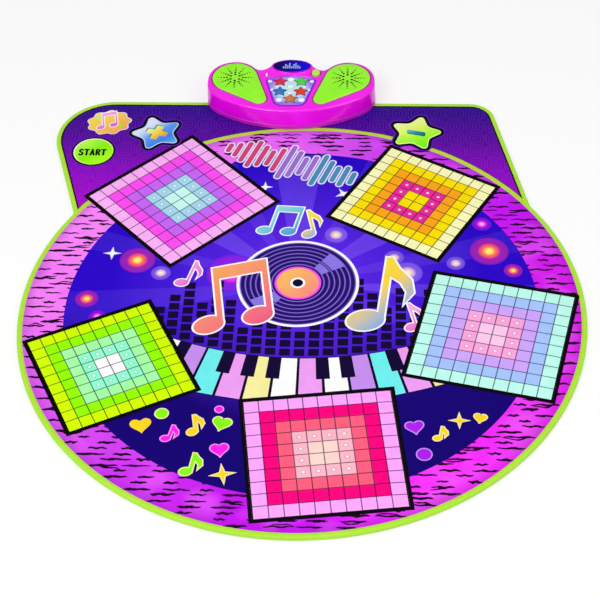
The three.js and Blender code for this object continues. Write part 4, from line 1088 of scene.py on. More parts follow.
def make_keys():
    """The round START key and the two star keys."""
    sx, sy = middle_of("start_key")
    word_x, word_y = -1.5, -3
    prints = [whole(ink_name, circle(sx, sy, START_RADIUS - d, 64), (sx, sy), START_RADIUS)
              for ink_name, d in (("black", 0), ("start_rim", 1.4), ("start", 3.6))]
    prints += word_prints("START", sx + word_x, sy + word_y)
    shapes = {"start": (circle(sx, sy, START_RADIUS, 64), prints)}
    for name, fill in (("plus", "plus_blue"), ("minus", "minus_green")):
        x, y = (share * MAT_RADIUS for share in KEY_SHARES[name])
        rims = [("black", 0), (name + "_pale", 2.6), (fill, 4.4)]
        prints = [whole(ink_name, key_star(name, d), (x, y), KEY_TIP) for ink_name, d in rims]
        shapes[name] = (key_star(name), prints + sign_prints(name, x, y))
    for name, (outline, prints) in shapes.items():
        node = name + "_key"
        make_panel(name, node, outline, prints, (extent(node, 0), extent(node, 1)), spacing=5,
                   groove_at=2.4, groove_half=1.4, crown=0.8, crown_reach=14)


def window_outlines():
    windows = [square(*middle_of(name + "_pad"), pad_side(name) + 2 * WINDOW_GAP, PAD_TURNS[name])
               for name in PAD_INKS]
    windows.append(circle(*middle_of("start_key"), START_RADIUS + WINDOW_GAP, 64))
    return windows + [key_star(name, -WINDOW_GAP) for name in KEY_TURNS]


def cover_heights(windows):
    """The cover is drawn down at its seams and swells a little between them, but not under the console."""
    puff, reach, clear = 0.75, 20, 24
    x0, y0 = low("console_base", 0), low("console_base", 1)
    x1 = high("console_base", 0)

    def height_of(points):
        away = smooth_step(edge_distance(points, [OUTLINE, *windows]) / reach)
        side = np.maximum(np.maximum(x0 - points[:, 0], points[:, 0] - x1), y0 - points[:, 1])
        return COVER_TOP + puff * away * smooth_step(side / clear)

    return height_of


def make_cover():
    """The printed top sheet with a window for each pad and key."""
    windows = window_outlines()
    prints = [*zone_prints(), *beam_prints(), *glow_prints(), *level_prints(), *keyboard_prints(),
              *record_prints(), *wave_prints(), *small_prints(), *badge_prints(), *frame_prints(),
              *halo_prints()]
    outline = inset(OUTLINE, COVER_INSET)
    cover = printed_sheet("printed_cover", outline, windows, prints, cover_heights(windows), COVER_THICK, 9)
    dress(cover, [], ROOT, ["cover_sheet"], 60)
    lay_flat(cover, extent("cover_sheet", 0), extent("cover_sheet", 1), ["core"])


# Tape, stitches and the soft layers


def solid_colour(code, spot, scale):
    """A base colour with a faint second tone in soft patches of a real size in millimetres."""

    def paint(tree, place_of):
        patches = add(tree, NOISE, {"Vector": place_of, "Scale": 1 / (scale * MM), "Detail": 3})
        return add(tree, COLOUR_RAMP, {0: patches}, stops=[(0.35, spot), (0.65, code)])

    return paint


def finish(name, paint, roughness, bump_size=0, bump_depth=0.0, metallic=0, ior=1.5):
    """A material from its colour, its sheen and a fine surface whose size is in millimetres."""
    smear_size = 14
    material, tree, shader, place_of = blank(name)
    smear = add(tree, NOISE, {"Vector": place_of, "Scale": 1 / (smear_size * MM), "Detail": 4})
    sheen = {"Value": smear, "To Min": roughness * 0.8, "To Max": roughness * 1.25}
    connect(tree, shader, {
        "Base Color": paint(tree, place_of), "Roughness": add(tree, MAP_RANGE, sheen), "Metallic": metallic,
        "IOR": ior,
    })
    if bump_size:
        grain = add(tree, NOISE, {"Vector": place_of, "Scale": 1 / (bump_size * MM)})
        relief = {"Height": grain, "Strength": 0.5, "Distance": bump_depth * MM}
        connect(tree, shader, {"Normal": add(tree, BUMP, relief)})
    return material


def woven(name, code, dark, pitch):
    """Woven polyester tape: crossing yarns that catch the light, too fine to count from a step away."""
    patch_size, yarn_depth = 60, 0.15
    material, tree, shader, place_of = blank(name)
    uv = add(tree, COORDINATES, out="UV")
    yarns = []
    for axis in (0, 1):
        run = add(tree, SEPARATE, {0: uv}, axis)
        along = add(tree, MATH, {0: run, 1: 1 / (pitch * MM)}, operation="MULTIPLY")
        yarns.append(add(tree, MATH, {0: along, 1: 0.5}, operation="PINGPONG"))
    weave = add(tree, MATH, {0: yarns[0], 1: yarns[1]}, operation="ADD")
    shade = add(tree, COLOUR_RAMP, {0: weave}, stops=[(0.1, dark), (0.5, code)])
    patches = add(tree, NOISE, {"Vector": place_of, "Scale": 1 / (patch_size * MM)})
    fade = add(tree, COLOUR_RAMP, {0: patches}, stops=[(0.4, 0), (0.7, 0.25)])
    worn = add(tree, MIX, {0: fade, MIX_A: shade, MIX_B: rgb("#C4E84C")}, MIX_OUT, data_type="RGBA")
    relief = {"Height": weave, "Strength": 0.6, "Distance": yarn_depth * MM}
    connect(tree, shader, {
        "Base Color": worn, "Normal": add(tree, BUMP, relief), "Roughness": 0.6, "Sheen Weight": 0.15,
    })
    return material


TAPE_SECTION = [
    (8, 0.1), (2.6, 0), (1, 0.5), (0.2, 1.7), (0, 3.4), (0, 5.4), (0.3, 7.1), (1.1, 8.2), (2.6, 8.7),
    (7.2, 8.7), (7.9, 8.45), (8, 8.1), (7.4, 7.95), (2.8, 7.95), (1.4, 7.3), (0.85, 5.6), (0.8, 3.6),
    (1, 1.9), (2.7, 0.85), (8, 0.85),
]


def lengths_along(points):
    """How far along a closed outline each of its points lies, and its whole length at the end."""
    steps = [(Vector(b) - Vector(a)).length for a, b in zip(points, [*points[1:], points[0]])]
    return np.cumsum([0, *steps])


def make_binding():
    """The tape folded round the mat's edge, as one closed U-shaped band with its run along the UV map."""
    count, depth_steps = len(OUTLINE), len(TAPE_SECTION)
    points, faces = [], []
    for depth, height in TAPE_SECTION:
        points += [Vector((*p, height)) * MM for p in inset(OUTLINE, depth)]
    for s in range(depth_steps):
        for i in range(count):
            j, t = (i + 1) % count, (s + 1) % depth_steps
            faces.append((s * count + i, t * count + i, t * count + j, s * count + j))
    tape = mesh_object("lime_binding", points, faces)
    run, across = lengths_along(OUTLINE), lengths_along(TAPE_SECTION)
    uv = tape.data.uv_layers.new(name="UVMap").data
    for face in tape.data.polygons:
        s, i = divmod(face.index, count)
        corners = [(i, s), (i, s + 1), (i + 1, s + 1), (i + 1, s)]
        for loop, (a, b) in zip(face.loop_indices, corners):
            uv[loop].uv = (run[a] * MM, across[b] * MM)
    tidy_normals(tape)
    polyester = woven("woven_polyester_tape", "#B2EC20", "#8CC814", 1.1)
    dress(tape, [polyester], ROOT, ["edge_binding"], 60)


def make_stitches():
    """One row of lock stitches along the tape's inner edge."""
    pitch, length, thick, setback = 5, 3.4, 0.7, 6.2
    path = [Vector(p) for p in inset(OUTLINE, setback)]
    pick()
    bpy.ops.mesh.primitive_uv_sphere_add(segments=8, ring_count=5, radius=0.5)
    bead = bpy.context.object
    corners = [v.co * Vector((length, thick, thick)) for v in bead.data.vertices]
    bead_faces = [tuple(face.vertices) for face in bead.data.polygons]
    bpy.data.objects.remove(bead)
    points, faces, left = [], [], 0
    for a, b in zip(path, path[1:] + path[:1]):
        step, along = (b - a).length, left
        turn = Matrix.Rotation(math.atan2(b.y - a.y, b.x - a.x), 3, "Z")
        while along < step:
            at = Vector((*(a + (b - a) * (along / step)), BINDING_TOP))
            faces += [tuple(len(points) + i for i in face) for face in bead_faces]
            points += [(at + turn @ corner) * MM for corner in corners]
            along += pitch
        left = along - step
    stitches = mesh_object("binding_stitches", points, faces)
    # Twisted polyester thread: a soft sheen in nearly the tape's own lime.
    thread = finish("twisted_polyester_thread", solid_colour("#B8E040", "#9CCB34", 3), 0.55)
    dress(stitches, [thread], ROOT)


def foam_sheet(name, outline, holes, material, node, top=None):
    """A flat layer cut from sheet foam or film, as thick as its node unless its top is given."""
    bottom = low(node, 2)
    top = high(node, 2) if top is None else top

    def level(points):
        return np.full(len(points), float(top))

    layer = printed_sheet(name, outline, holes, [whole("white", outline)], level, top - bottom, 60)
    return dress(layer, [material], ROOT, [node], 40)


def make_layers():
    """The foam core, the contact film and the spacer sheet, the small foam spacers and the backing."""
    screw_hole_radius, film_gap = 2.1, 0.1
    # Polyethylene foam: off-white and dull, with small cells on its surface.
    foam = finish("polyethylene_foam", solid_colour("#E4E4E0", "#D2D2CC", 3), 0.9, 1.4, 0.3)
    # Polyester film with printed contacts: smooth, blue-grey and a little glossy.
    film = finish("printed_contact_film", solid_colour("#C4CCD6", "#B4BCC8", 20), 0.35)
    layer = inset(OUTLINE, COVER_INSET)
    holes = [circle(*middle_of(side + "_clamp_screw"), screw_hole_radius, 16) for side in SIDES]
    width, length = extent("foam_core", 0), extent("foam_core", 1)
    core = foam_sheet("core", layer, holes, foam, "foam_core")
    film_top = low("spacer_sheet", 2) - film_gap
    lower = foam_sheet("printed_film", layer, holes, film, "contact_film", film_top)
    lay_flat(lower, width, length, ["core"])
    spacer = foam_sheet("spacer_foam", layer, [*window_outlines(), *holes], foam, "spacer_sheet")
    lay_flat(spacer, width, length, ["printed_film"])
    make_spacers(foam)
    make_backing()


def make_spacers(foam):
    """Perforated foam under each pad and key."""
    foam_share, holes_along, hole_share, ring_hole_radius = 0.94, 6, 0.5, 12
    shapes = []
    for name in PAD_INKS:
        x, y = middle_of(name + "_pad")
        turn, side = PAD_TURNS[name], (pad_side(name) - 2 * SEAM_MARGIN) * foam_share
        pitch = side / holes_along
        steps = [(i + 0.5) * pitch - side / 2 for i in range(holes_along)]
        hole = circle(0, 0, pitch * hole_share / 2, 20)
        holes = [place(place(hole, across, along), x, y, turn) for along in steps for across in steps]
        shapes.append((name, "_pad_press", square(x, y, side, turn), holes))
    for name in ("start", *KEY_TURNS):
        x, y = middle_of(name + "_spacer")
        radius = extent(name + "_spacer", 0) / 2
        shapes.append((name, "_key_press", circle(x, y, radius, 40), [circle(x, y, ring_hole_radius, 28)]))
    for name, joint, outline, holes in shapes:
        piece = foam_sheet(name + "_foam", outline, holes, foam, name + "_spacer")
        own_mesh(piece)


def dotted_cloth():
    """Dark nonwoven cloth with a pattern of rubber dots that grips the floor."""
    dot_pitch, dot_radius, dot_rise, fibre_size, fibre_depth = 9, 1.6, 0.4, 0.9, 0.2
    material, tree, shader, place_of = blank("dotted_nonwoven_backing")
    fibres = add(tree, NOISE, {"Vector": place_of, "Scale": 1 / (fibre_size * MM), "Detail": 3})
    cloth = add(tree, COLOUR_RAMP, {0: fibres}, stops=[(0.3, "#1C1C22"), (0.7, "#34343C")])
    in_cell = from_cell_middle(tree, place_of, dot_pitch)
    away = add(tree, VECTOR_MATH, {0: in_cell}, "Value", operation="LENGTH")
    reach = dot_radius / dot_pitch
    dots = add(tree, COLOUR_RAMP, {0: away}, stops=[(reach * 0.8, 1), (reach, 0)])
    dotted = add(tree, MIX, {0: dots, MIX_A: cloth, MIX_B: rgb("#5A5A66")}, MIX_OUT, data_type="RGBA")
    rise = add(tree, BUMP, {"Height": dots, "Strength": 0.8, "Distance": dot_rise * MM})
    relief = {"Height": fibres, "Strength": 0.6, "Distance": fibre_depth * MM, "Normal": rise}
    connect(tree, shader, {"Base Color": dotted, "Normal": add(tree, BUMP, relief), "Roughness": 0.85})
    return material


def make_backing():
    """The sheet that lies on the floor, with an opening for the clamp plate."""
    outline = inset(OUTLINE, low("bottom_sheet", 0) - low("edge_binding", 0))
    gap = 0.3
    pocket = rectangle(low("clamp_plate", 0) - gap, low("clamp_plate", 1) - gap,
                       high("clamp_plate", 0) + gap, high("clamp_plate", 1) + gap)
    sheet = foam_sheet("gripping_backing", outline, [pocket], dotted_cloth(), "bottom_sheet")
    lay_flat(sheet, extent("bottom_sheet", 0), extent("bottom_sheet", 1), ["core"])


# The console


CONSOLE_X = halfway("console_base", 0)
CONSOLE_FRONT = low("console_base", 1)
CONSOLE_DEPTH = extent("console_base", 1)
LOBE_RADIUS = 41
LOBE_MARGIN = 9.6
LOBE_X = halfway("right_speaker", 0) - CONSOLE_X
LOBE_Y = halfway("right_speaker", 1) - CONSOLE_FRONT
CONSOLE_HALF_WIDTH = LOBE_X + LOBE_RADIUS + LOBE_MARGIN
SEAM = low("console_top", 2)
GRILLE_TOP = high("right_grille", 2)
GRILLE_RISE = 0.6
CONSOLE_TOP = GRILLE_TOP - GRILLE_RISE
POD_TOP = high("console_top", 2)
POD_HALF_WIDTH, POD_HALF_DEPTH = 37, 19.5
LENS_HALF_WIDTH, LENS_HALF_DEPTH = 35, 18.3
POD_MARGIN = 5
POD_Y = CONSOLE_DEPTH - POD_MARGIN - POD_HALF_DEPTH
WALL = 2.6
DRAFT = 1.3
FIT = 0.5
EDGE_LINE = 1.8
CONSOLE_SHARES = [
    (0, 0), (0.21, 0.015), (0.408, 0.057), (0.58, 0.117), (0.74, 0.196), (0.88, 0.29), (0.965, 0.39),
    (0.998, 0.51), (1, 0.634), (0.98, 0.745), (0.905, 0.863), (0.812, 0.927), (0.674, 0.958),
    (0.563, 0.938), (0.474, 0.882), (0.421, 0.827), (0.372, 0.804), (0.316, 0.824), (0.25, 0.889),
    (0.175, 0.955), (0.09, 0.991),
]


def smooth_closed(points, steps):
    """A closed centripetal Catmull-Rom curve through points, with so many steps between each two."""
    at = [Vector(p) for p in points]
    curve = []
    for i, b in enumerate(at):
        a, c, d = at[i - 1], at[(i + 1) % len(at)], at[(i + 2) % len(at)]
        ta, tb, tc = (b - a).length**0.5, (c - b).length**0.5, (d - c).length**0.5
        m0 = ((b - a) / ta - (c - a) / (ta + tb) + (c - b) / tb) * tb
        m1 = ((c - b) / tb - (d - b) / (tb + tc) + (d - c) / tc) * tb
        for step in range(steps):
            t = step / steps
            bend = (2 * b - 2 * c + m0 + m1) * t**3 + (3 * c - 3 * b - 2 * m0 - m1) * t**2
            curve.append(tuple(bend + m0 * t + b))
    return curve


def housing_outline(distance=0):
    """The console's outline in its own frame, moved inwards."""
    right = [(x * CONSOLE_HALF_WIDTH, y * CONSOLE_DEPTH) for x, y in CONSOLE_SHARES]
    left = [(-x, y) for x, y in reversed(right[1:])]
    return inset(smooth_closed([*right, (0, CONSOLE_DEPTH), *left], 5), distance)


def on_console(points):
    return place(points, CONSOLE_X, CONSOLE_FRONT)


def housing(distance=0):
    return on_console(housing_outline(distance))


def rounded_edge(start, top, radius, steps=5):
    """Insets and heights up a rounded upper edge."""
    angles = [math.pi * i / (2 * steps) for i in range(steps + 1)]
    return [(start + radius * (1 - math.cos(a)), top - radius * (1 - math.sin(a))) for a in angles]


def pod(distance):
    return on_console(ellipse(0, POD_Y, POD_HALF_WIDTH - distance, POD_HALF_DEPTH - distance, 72))


def lens_outline(grow=0):
    return on_console(ellipse(0, POD_Y, LENS_HALF_WIDTH + grow, LENS_HALF_DEPTH + grow, 72))


def teardrop(side, grow=0):
    """The outline round a grille's large and small circle; side is -1 or 1."""
    tail_radius, tail = 14, Vector((56, 37))
    big = Vector((LOBE_X, LOBE_Y))
    away = tail - big
    along = math.degrees(math.atan2(away.y, away.x))
    spread = math.degrees(math.acos((LOBE_RADIUS - tail_radius) / away.length))
    points = [
        *arc(big.x, big.y, LOBE_RADIUS + grow, along + spread, along + 360 - spread, 56),
        *arc(tail.x, tail.y, tail_radius + grow, along - spread, along + spread, 20),
    ]
    return on_console(points if side > 0 else [(-x, y) for x, y in reversed(points)])


PANEL_GAP = 4.5
PANEL_TOP_Y = POD_Y - POD_HALF_DEPTH - PANEL_GAP
PANEL_SHOULDER_X = 47


def panel_outline(grow=0):
    """The outline of the window under the stars, narrow in front and with a bowed back edge."""
    shoulder_y = PANEL_TOP_Y - 9.5
    foot_x, foot_y = 26, 16.6
    corners = [(foot_x, foot_y, 17), (PANEL_SHOULDER_X, shoulder_y, 9), (0, PANEL_TOP_Y, 60),
               (-PANEL_SHOULDER_X, shoulder_y, 9), (-foot_x, foot_y, 17)]
    return on_console(grown(rounded(corners, 10), grow))


STAR_SHARES = {"crimson": (-0.41, 0.814), "green": (0.41, 0.814), "blue": (-0.4, 0.545),
               "red": (0.4, 0.545), "orange": (0.02, 0.345)}
STAR_TIP, STAR_VALLEY = 13.4, 6.4


def star_place(name):
    x, y = STAR_SHARES[name]
    return (CONSOLE_X + x * PANEL_SHOULDER_X, CONSOLE_FRONT + y * PANEL_TOP_Y)


def button_star(name, grow=0, scale=1):
    """A star button's outline; to grow evenly, its tips move further out than its valleys."""
    tip, valley = STAR_TIP * scale + grow * 1.9, STAR_VALLEY * scale + grow * 1.1
    return place(star(tip, valley, 1.2 * scale, scale), *star_place(name), 90)


POWER_HALF_WIDTH, POWER_HALF_DEPTH = 7.6, 9
LIGHT_HALF_WIDTH, LIGHT_HALF_LENGTH = 1.5, 4.5


def power_outline(grow=0):
    return ellipse(*middle_of("power_button"), POWER_HALF_WIDTH + grow, POWER_HALF_DEPTH + grow, 40)


def light_outline(grow=0):
    x, y = LIGHT_HALF_WIDTH + grow, LIGHT_HALF_LENGTH + grow
    slot = [(*corner, 0.9 * x) for corner in rectangle(-x, -y, x, y)]
    return place(rounded(slot), *middle_of("power_light"))


def chamfered_hole(outline_at, bottom, top, chamfer):
    """A cutting tool that clears a piece, and whose upper end opens out to break the hole's edge."""
    above = 1
    return loft("hole", [(outline_at(FIT), bottom), (outline_at(FIT), top - chamfer),
                         (outline_at(FIT + chamfer), top), (outline_at(FIT + chamfer), top + above)])


def abs_plastic(name, code, shade, roughness=0.22):
    """Moulded ABS: glossy, with a faint orange-peel surface and slow changes of tone from its flow."""
    return finish(name, solid_colour(code, shade, 45), roughness, 6, 0.05, ior=1.53)


def paint_edge_light_and_shade(body, outlines, lowest):
    """Gives sloping faces along some outlines, above a height, the second material: painted edge light and
    shade.
    """
    middles = np.array([face.center[:] for face in body.data.polygons]) / MM
    sloping = np.array([0.1 < face.normal.z < 0.96 for face in body.data.polygons])
    at_edge = (edge_distance(middles[:, :2], outlines) < EDGE_LINE) & (middles[:, 2] > lowest)
    for face, painted in zip(body.data.polygons, sloping & at_edge):
        face.material_index = int(painted)


def make_console_top():
    """The upper shell with its pod, its openings and painted shade round the grilles and the power button."""
    edge_radius, pod_edge_radius = 4, 1.2
    rings = [(0.8, SEAM), (0, SEAM + 0.8), (0.1, SEAM + 3), *rounded_edge(DRAFT, CONSOLE_TOP, edge_radius)]
    body = loft("console_shell", [(housing(d), z) for d, z in rings])
    flare = [(-1.6, CONSOLE_TOP - 2), (-1.6, CONSOLE_TOP), (-0.7, CONSOLE_TOP + 0.25), (0, CONSOLE_TOP + 0.9)]
    pod_rings = [*flare, *rounded_edge(0, POD_TOP, pod_edge_radius, 4)]
    cut(body, [loft("pod", [(pod(d), z) for d, z in pod_rings])], "UNION")
    inside = [(WALL, SEAM - 2), (WALL + DRAFT, CONSOLE_TOP - WALL)]
    cut(body, [loft("inside", [(housing(d), z) for d, z in inside])])
    below = CONSOLE_TOP - WALL - 2
    openings = [
        (lambda grow: teardrop(-1, grow), EDGE_LINE), (lambda grow: teardrop(1, grow), EDGE_LINE),
        (panel_outline, 0.6), (power_outline, EDGE_LINE), (light_outline, 0.4),
    ]
    tools = [chamfered_hole(outline_at, below, CONSOLE_TOP, chamfer) for outline_at, chamfer in openings]
    tools.append(chamfered_hole(lens_outline, POD_TOP - 1.2, POD_TOP, 0.5))
    cut(body, tools)
    hole_radius, hole_length, setback = 4.3, 14, 9
    socket_hole = prism("hole", circle(0, 0, hole_radius, 40), 0, hole_length)
    back = high("line_in_socket", 1)
    at = (halfway("line_in_socket", 0), back - setback, halfway("line_in_socket", 2))
    cut(body, [turn_and_move(socket_hole, -90, "X", at)])
    magenta = abs_plastic("moulded_abs_magenta", "#FF08F4", "#F804EA", 0.2)
    # Painted shade on the opening edges, for the dark gaps there: duller than the glossy shell round it.
    shade = abs_plastic("painted_shade_edge_line", "#A82888", "#982478", 0.3)
    dress(body, [magenta, shade], ROOT, ["console_top"], 32)
    middle_line = FIT + EDGE_LINE / 2
    edges = [teardrop(-1, middle_line), teardrop(1, middle_line), power_outline(middle_line)]
    paint_edge_light_and_shade(body, edges, CONSOLE_TOP - EDGE_LINE)


FRONT_SCREWS, REAR_SCREWS = ("front_left", "front_right"), ("rear_left", "rear_right")


def bay_tools(bay_y0, bay_y1, floor_gap):
    """The tools that clear the battery bay and the ledges and opening that its door slides in."""
    bay_top, gap, ledge, flush, below, behind = 18, 0.4, 1.2, 3, -5, 800
    x0, x1 = low("battery_door", 0) - gap, high("battery_door", 0) + gap
    door_top = floor_gap + WALL + 0.3
    return [
        prism("bay_space", rectangle(x0, bay_y0, x1, bay_y1), floor_gap + WALL, bay_top),
        prism("door_space", rectangle(x0 + flush, bay_y0, x1 - flush, behind), below, door_top),
        prism("ledge_space", rectangle(x0, bay_y0, x1, behind), floor_gap + ledge, door_top),
    ]


def make_console_base():
    """The lower shell, stepped over the mat's edge, with its battery bay, screw wells and foot seats.

    It hands back its plastic, because the battery door is moulded in the same one.
    """
    floor_gap, far, below, mat_gap = low("console_base", 2), 400, -5, 0.3
    step_y, tape_depth = CONSOLE_FRONT + 76.6, 8.9
    rings = [(1, floor_gap), (0, floor_gap + 1), (0, SEAM - 0.8), (0.5, SEAM - 0.3)]
    body = loft("console_tray", [(housing(d), z) for d, z in rings])
    over_mat, over_tape = COVER_TOP + mat_gap, BINDING_TOP + mat_gap
    x0, x1, y0 = CONSOLE_X - far, CONSOLE_X + far, CONSOLE_FRONT - far
    under = [prism("mat_space", rectangle(x0, y0, x1, step_y - tape_depth), below, over_mat),
             prism("tape_space", rectangle(x0, y0, x1, step_y), below, over_tape)]
    cavity = prism("cavity", housing(WALL), floor_gap + WALL, SEAM + 2)
    cut(cavity, [prism("front_floor", rectangle(x0, y0, x1, step_y + WALL), below, over_tape + WALL)])
    cut(body, [*under, cavity])
    bay_y0, bay_y1, bay_wall = step_y + 2 * WALL, high("right_contact", 1) + 0.4, 2
    bay = rectangle(low("battery_door", 0) - bay_wall, bay_y0 - bay_wall,
                    high("battery_door", 0) + bay_wall, bay_y1 + bay_wall)
    cut(body, [prism("bay", bay, floor_gap + WALL / 2, SEAM - 1)], "UNION")
    boss_radius, boss_top, well_radius, head_depth, shank_radius = 4, 30, 3.5, 2.3, 1.8
    bosses = []
    for names, floor in ((REAR_SCREWS, floor_gap), (FRONT_SCREWS, over_mat)):
        for name in names:
            boss = circle(*middle_of(name + "_screw"), boss_radius, 24)
            bosses.append(prism("boss", boss, floor + WALL / 2, boss_top))
    cut(body, bosses, "UNION")
    tools = bay_tools(bay_y0, bay_y1, floor_gap)
    for name in (*FRONT_SCREWS, *REAR_SCREWS):
        at, head = middle_of(name + "_screw"), low(name + "_screw", 2)
        tools.append(prism("screw_well", circle(*at, well_radius, 32), below, head + head_depth))
        tools.append(prism("shank_hole", circle(*at, shank_radius, 16), below, boss_top + 2))
    seat_radius, seat_depth = 8.3, 1.2
    for side in SIDES:
        seat = circle(*middle_of(side + "_foot"), seat_radius, 48)
        tools.append(prism("foot_seat", seat, below, floor_gap + seat_depth))
    cut(body, tools)
    # ABS from a finely etched mould: satin, where the upper shell is glossy.
    pink = finish("moulded_abs_base", solid_colour("#E018D8", "#D414CC", 45), 0.38, 1.2, 0.06, ior=1.53)
    dress(body, [pink], ROOT, ["console_base"], 32)
    return pink


def make_grilles():
    """Teardrop grilles with a small ring of holes and twelve rays of holes that shrink outwards.

    Black cloth lies in a recess behind the holes as painted shade, so that they read as dark.
    """
    lime = abs_plastic("moulded_abs_lime", "#9CFF20", "#90F818", 0.24)
    # A painted highlight: the same ABS, paler along its rounded edge, where it would catch the light.
    edge = abs_plastic("moulded_abs_lime_painted_highlight", "#DCFC84", "#D0F474", 0.3)
    # Thin black cloth that stands in for the shade seen through the holes: no highlight at all.
    cloth = finish("black_shade_cloth", solid_colour("#0C0C10", "#040406", 1), 0.95, 0.5, 0.1)
    plate_thick, face_thick, cloth_thick, recess_radius = 2, 0.8, 0.4, 37
    bottom, face_bottom = GRILLE_TOP - plate_thick, GRILLE_TOP - face_thick
    hole_sides, first_size, taper, break_edge = 14, 2.5, 0.3, 0.2
    places = [(9, 90 + i * 60, first_size) for i in range(6)]
    for ring in range(4):
        radius, size = 14.5 + ring * 5.1, first_size - taper * (ring + 1)
        places += [(radius, ray * 30, size) for ray in range(12)]
    for side, name in zip((-1, 1), SIDES):
        crown = [(0.0, bottom), *rounded_edge(0, GRILLE_TOP, 1.2, 4)]
        plate = loft(name + "_perforated_grille", [(teardrop(side, -d), z) for d, z in crown])
        x, y = CONSOLE_X + side * LOBE_X, CONSOLE_FRONT + LOBE_Y
        cut(plate, [prism("recess", circle(x, y, recess_radius, 48), bottom - 1, face_bottom)])
        holes = []
        for radius, angle, size in places:
            at = place([(radius, 0)], x, y, angle)[0]
            rings = [(size, bottom - 1), (size, GRILLE_TOP - break_edge), (size + break_edge, GRILLE_TOP),
                     (size + break_edge, GRILLE_TOP + 1)]
            holes.append(turned("hole", *at, rings, hole_sides))
        cut(plate, [joined("holes", holes)])
        dress(plate, [lime, edge], ROOT, [name + "_grille"], 32)
        # The rim's sloping faces get the paler lime, a painted highlight.
        paint_edge_light_and_shade(plate, [teardrop(side, -0.6)], GRILLE_TOP - 1.1)
        cloth_rings = [(recess_radius - 0.5, face_bottom - cloth_thick), (recess_radius - 0.5, face_bottom)]
        backing = turned(name + "_grille_shade_cloth", x, y, cloth_rings)
        dress(backing, [cloth], ROOT)


def lens_colours(tree, place_of):
    """The smoked window: dark violet-blue at the left, clear blue at the right."""
    across = add(tree, SEPARATE, {0: add(tree, COORDINATES, out="UV")}, 0)
    return add(tree, COLOUR_RAMP, {0: across}, stops=[(0.1, "#100058"), (0.5, "#14089C"), (0.85, "#1408E0")])


def panel_colours(tree, place_of):
    """A lit window under the stars: cyan-white in the middle, lavender towards the rim."""
    out = add(tree, VECTOR_MATH, {0: from_middle(tree)}, "Value", operation="LENGTH")
    stops = [(0.2, "#D0F6F0"), (0.52, "#C0E0F6"), (0.76, "#B098F2"), (0.96, "#9854E8")]
    return add(tree, COLOUR_RAMP, {0: out}, stops=stops)


PAINTED.update({"lens": lens_colours, "panel": panel_colours})


def make_lens():
    """A domed oval window with a row of level bars printed on it."""
    rim, pitch, width, step, height, middle_level = 1.5, 3.7, 2.7, 3.3, 2.5, 2.4
    setback, dome, thickness = 0.3, 1.2, 1.2
    outline = lens_outline()
    centre = (CONSOLE_X, CONSOLE_FRONT + POD_Y)
    prints = [whole("purple_rim", outline, centre, LENS_HALF_WIDTH),
              whole("lens", lens_outline(-rim), centre, LENS_HALF_WIDTH)]
    counts = [2, 4, 3, 5, 2, 4, 5, 3, 2]
    for i, bars in enumerate(counts):
        x = (i - (len(counts) - 1) / 2) * pitch - width / 2
        for level in range(bars):
            y = POD_Y + (level - middle_level) * step
            prints.append(whole("lens_light", on_console(rectangle(x, y, x + width, y + height))))

    def height_of(points):
        x = (points[:, 0] - centre[0]) / LENS_HALF_WIDTH
        y = (points[:, 1] - centre[1]) / LENS_HALF_DEPTH
        out = np.clip(np.hypot(x, y), 0, 1)
        return POD_TOP - setback + dome * np.sqrt(np.clip(1 - out**2.6, 0, 1))

    lens = printed_sheet("oval_window", outline, [], prints, height_of, thickness, 1.6)
    dress(lens, [], ROOT, ["display_lens"], 50)


def make_star_panel():
    """A pale plastic window printed with small round lights, with a hole for each star."""
    centre, reach, thickness = (CONSOLE_X, CONSOLE_FRONT + 62), 46, 2.6
    edge_drop, edge_width = 0.5, 1.2
    outline = panel_outline()
    prints = [whole("violet_rim", outline), whole("violet_pale", panel_outline(-2.6)),
              whole("panel", panel_outline(-3.8), centre, reach)]
    lights = [(0, 91, 6.8), (0, 71, 7), (-25, 71, 3.6), (25, 71, 3.6), (-38, 86, 4), (38, 86, 4),
              (0, 52, 5.4), (-19, 33, 6.4), (21, 33, 6.4), (-33, 62, 3.4), (33, 62, 3.4)]
    for x, y, radius in lights:
        at = (CONSOLE_X + x, CONSOLE_FRONT + y)
        for ink_name, share in (("panel_ring", 1), ("panel_light", 0.82)):
            prints.append(whole(ink_name, circle(*at, radius * share, 28)))
    prints += [whole("star_line", button_star(name, 1.3)) for name in STAR_SHARES]
    holes = [button_star(name, FIT) for name in STAR_SHARES]
    top = CONSOLE_TOP + 0.4

    def height_of(points):
        return top - edge_drop * (1 - smooth_step(edge_distance(points, [outline]) / edge_width))

    panel = printed_sheet("star_window", outline, holes, prints, height_of, thickness, 4)
    dress(panel, [], ROOT, ["star_panel"], 50)


STAR_SECTION = [
    (1, 1.5), (0.975, 0.8), (0.92, 0.3), (0.85, 0.05), (0.78, 0), (0.7, 0.08), (0.66, 0.55), (0.6, 0.6),
    (0.55, 0.2), (0.48, 0.02), (0.3, 0), (0.12, 0),
]
HIDDEN_DEPTH = 4


def make_stars():
    """Puffy star buttons, each with a smaller star pressed into its top."""
    colours = {"crimson": ("#F01058", "#D80848"), "green": ("#48E040", "#38C830"),
               "blue": ("#2C7CD0", "#2068B4"), "red": ("#F03010", "#D02008"),
               "orange": ("#E88438", "#C86C28")}
    for name, (code, shade) in colours.items():
        top = high(name + "_star", 2)
        rings = [(1, CONSOLE_TOP - HIDDEN_DEPTH), *[(scale, top - drop) for scale, drop in STAR_SECTION]]
        body = loft(name + "_star_button", [(button_star(name, 0, scale), z) for scale, z in rings])
        # Each star is moulded in its own colour, so that it is glossy and even.
        plastic = abs_plastic("moulded_abs_" + name, code, shade, 0.2)
        dress(body, [plastic], name + "_star", [name + "_star"], 40)


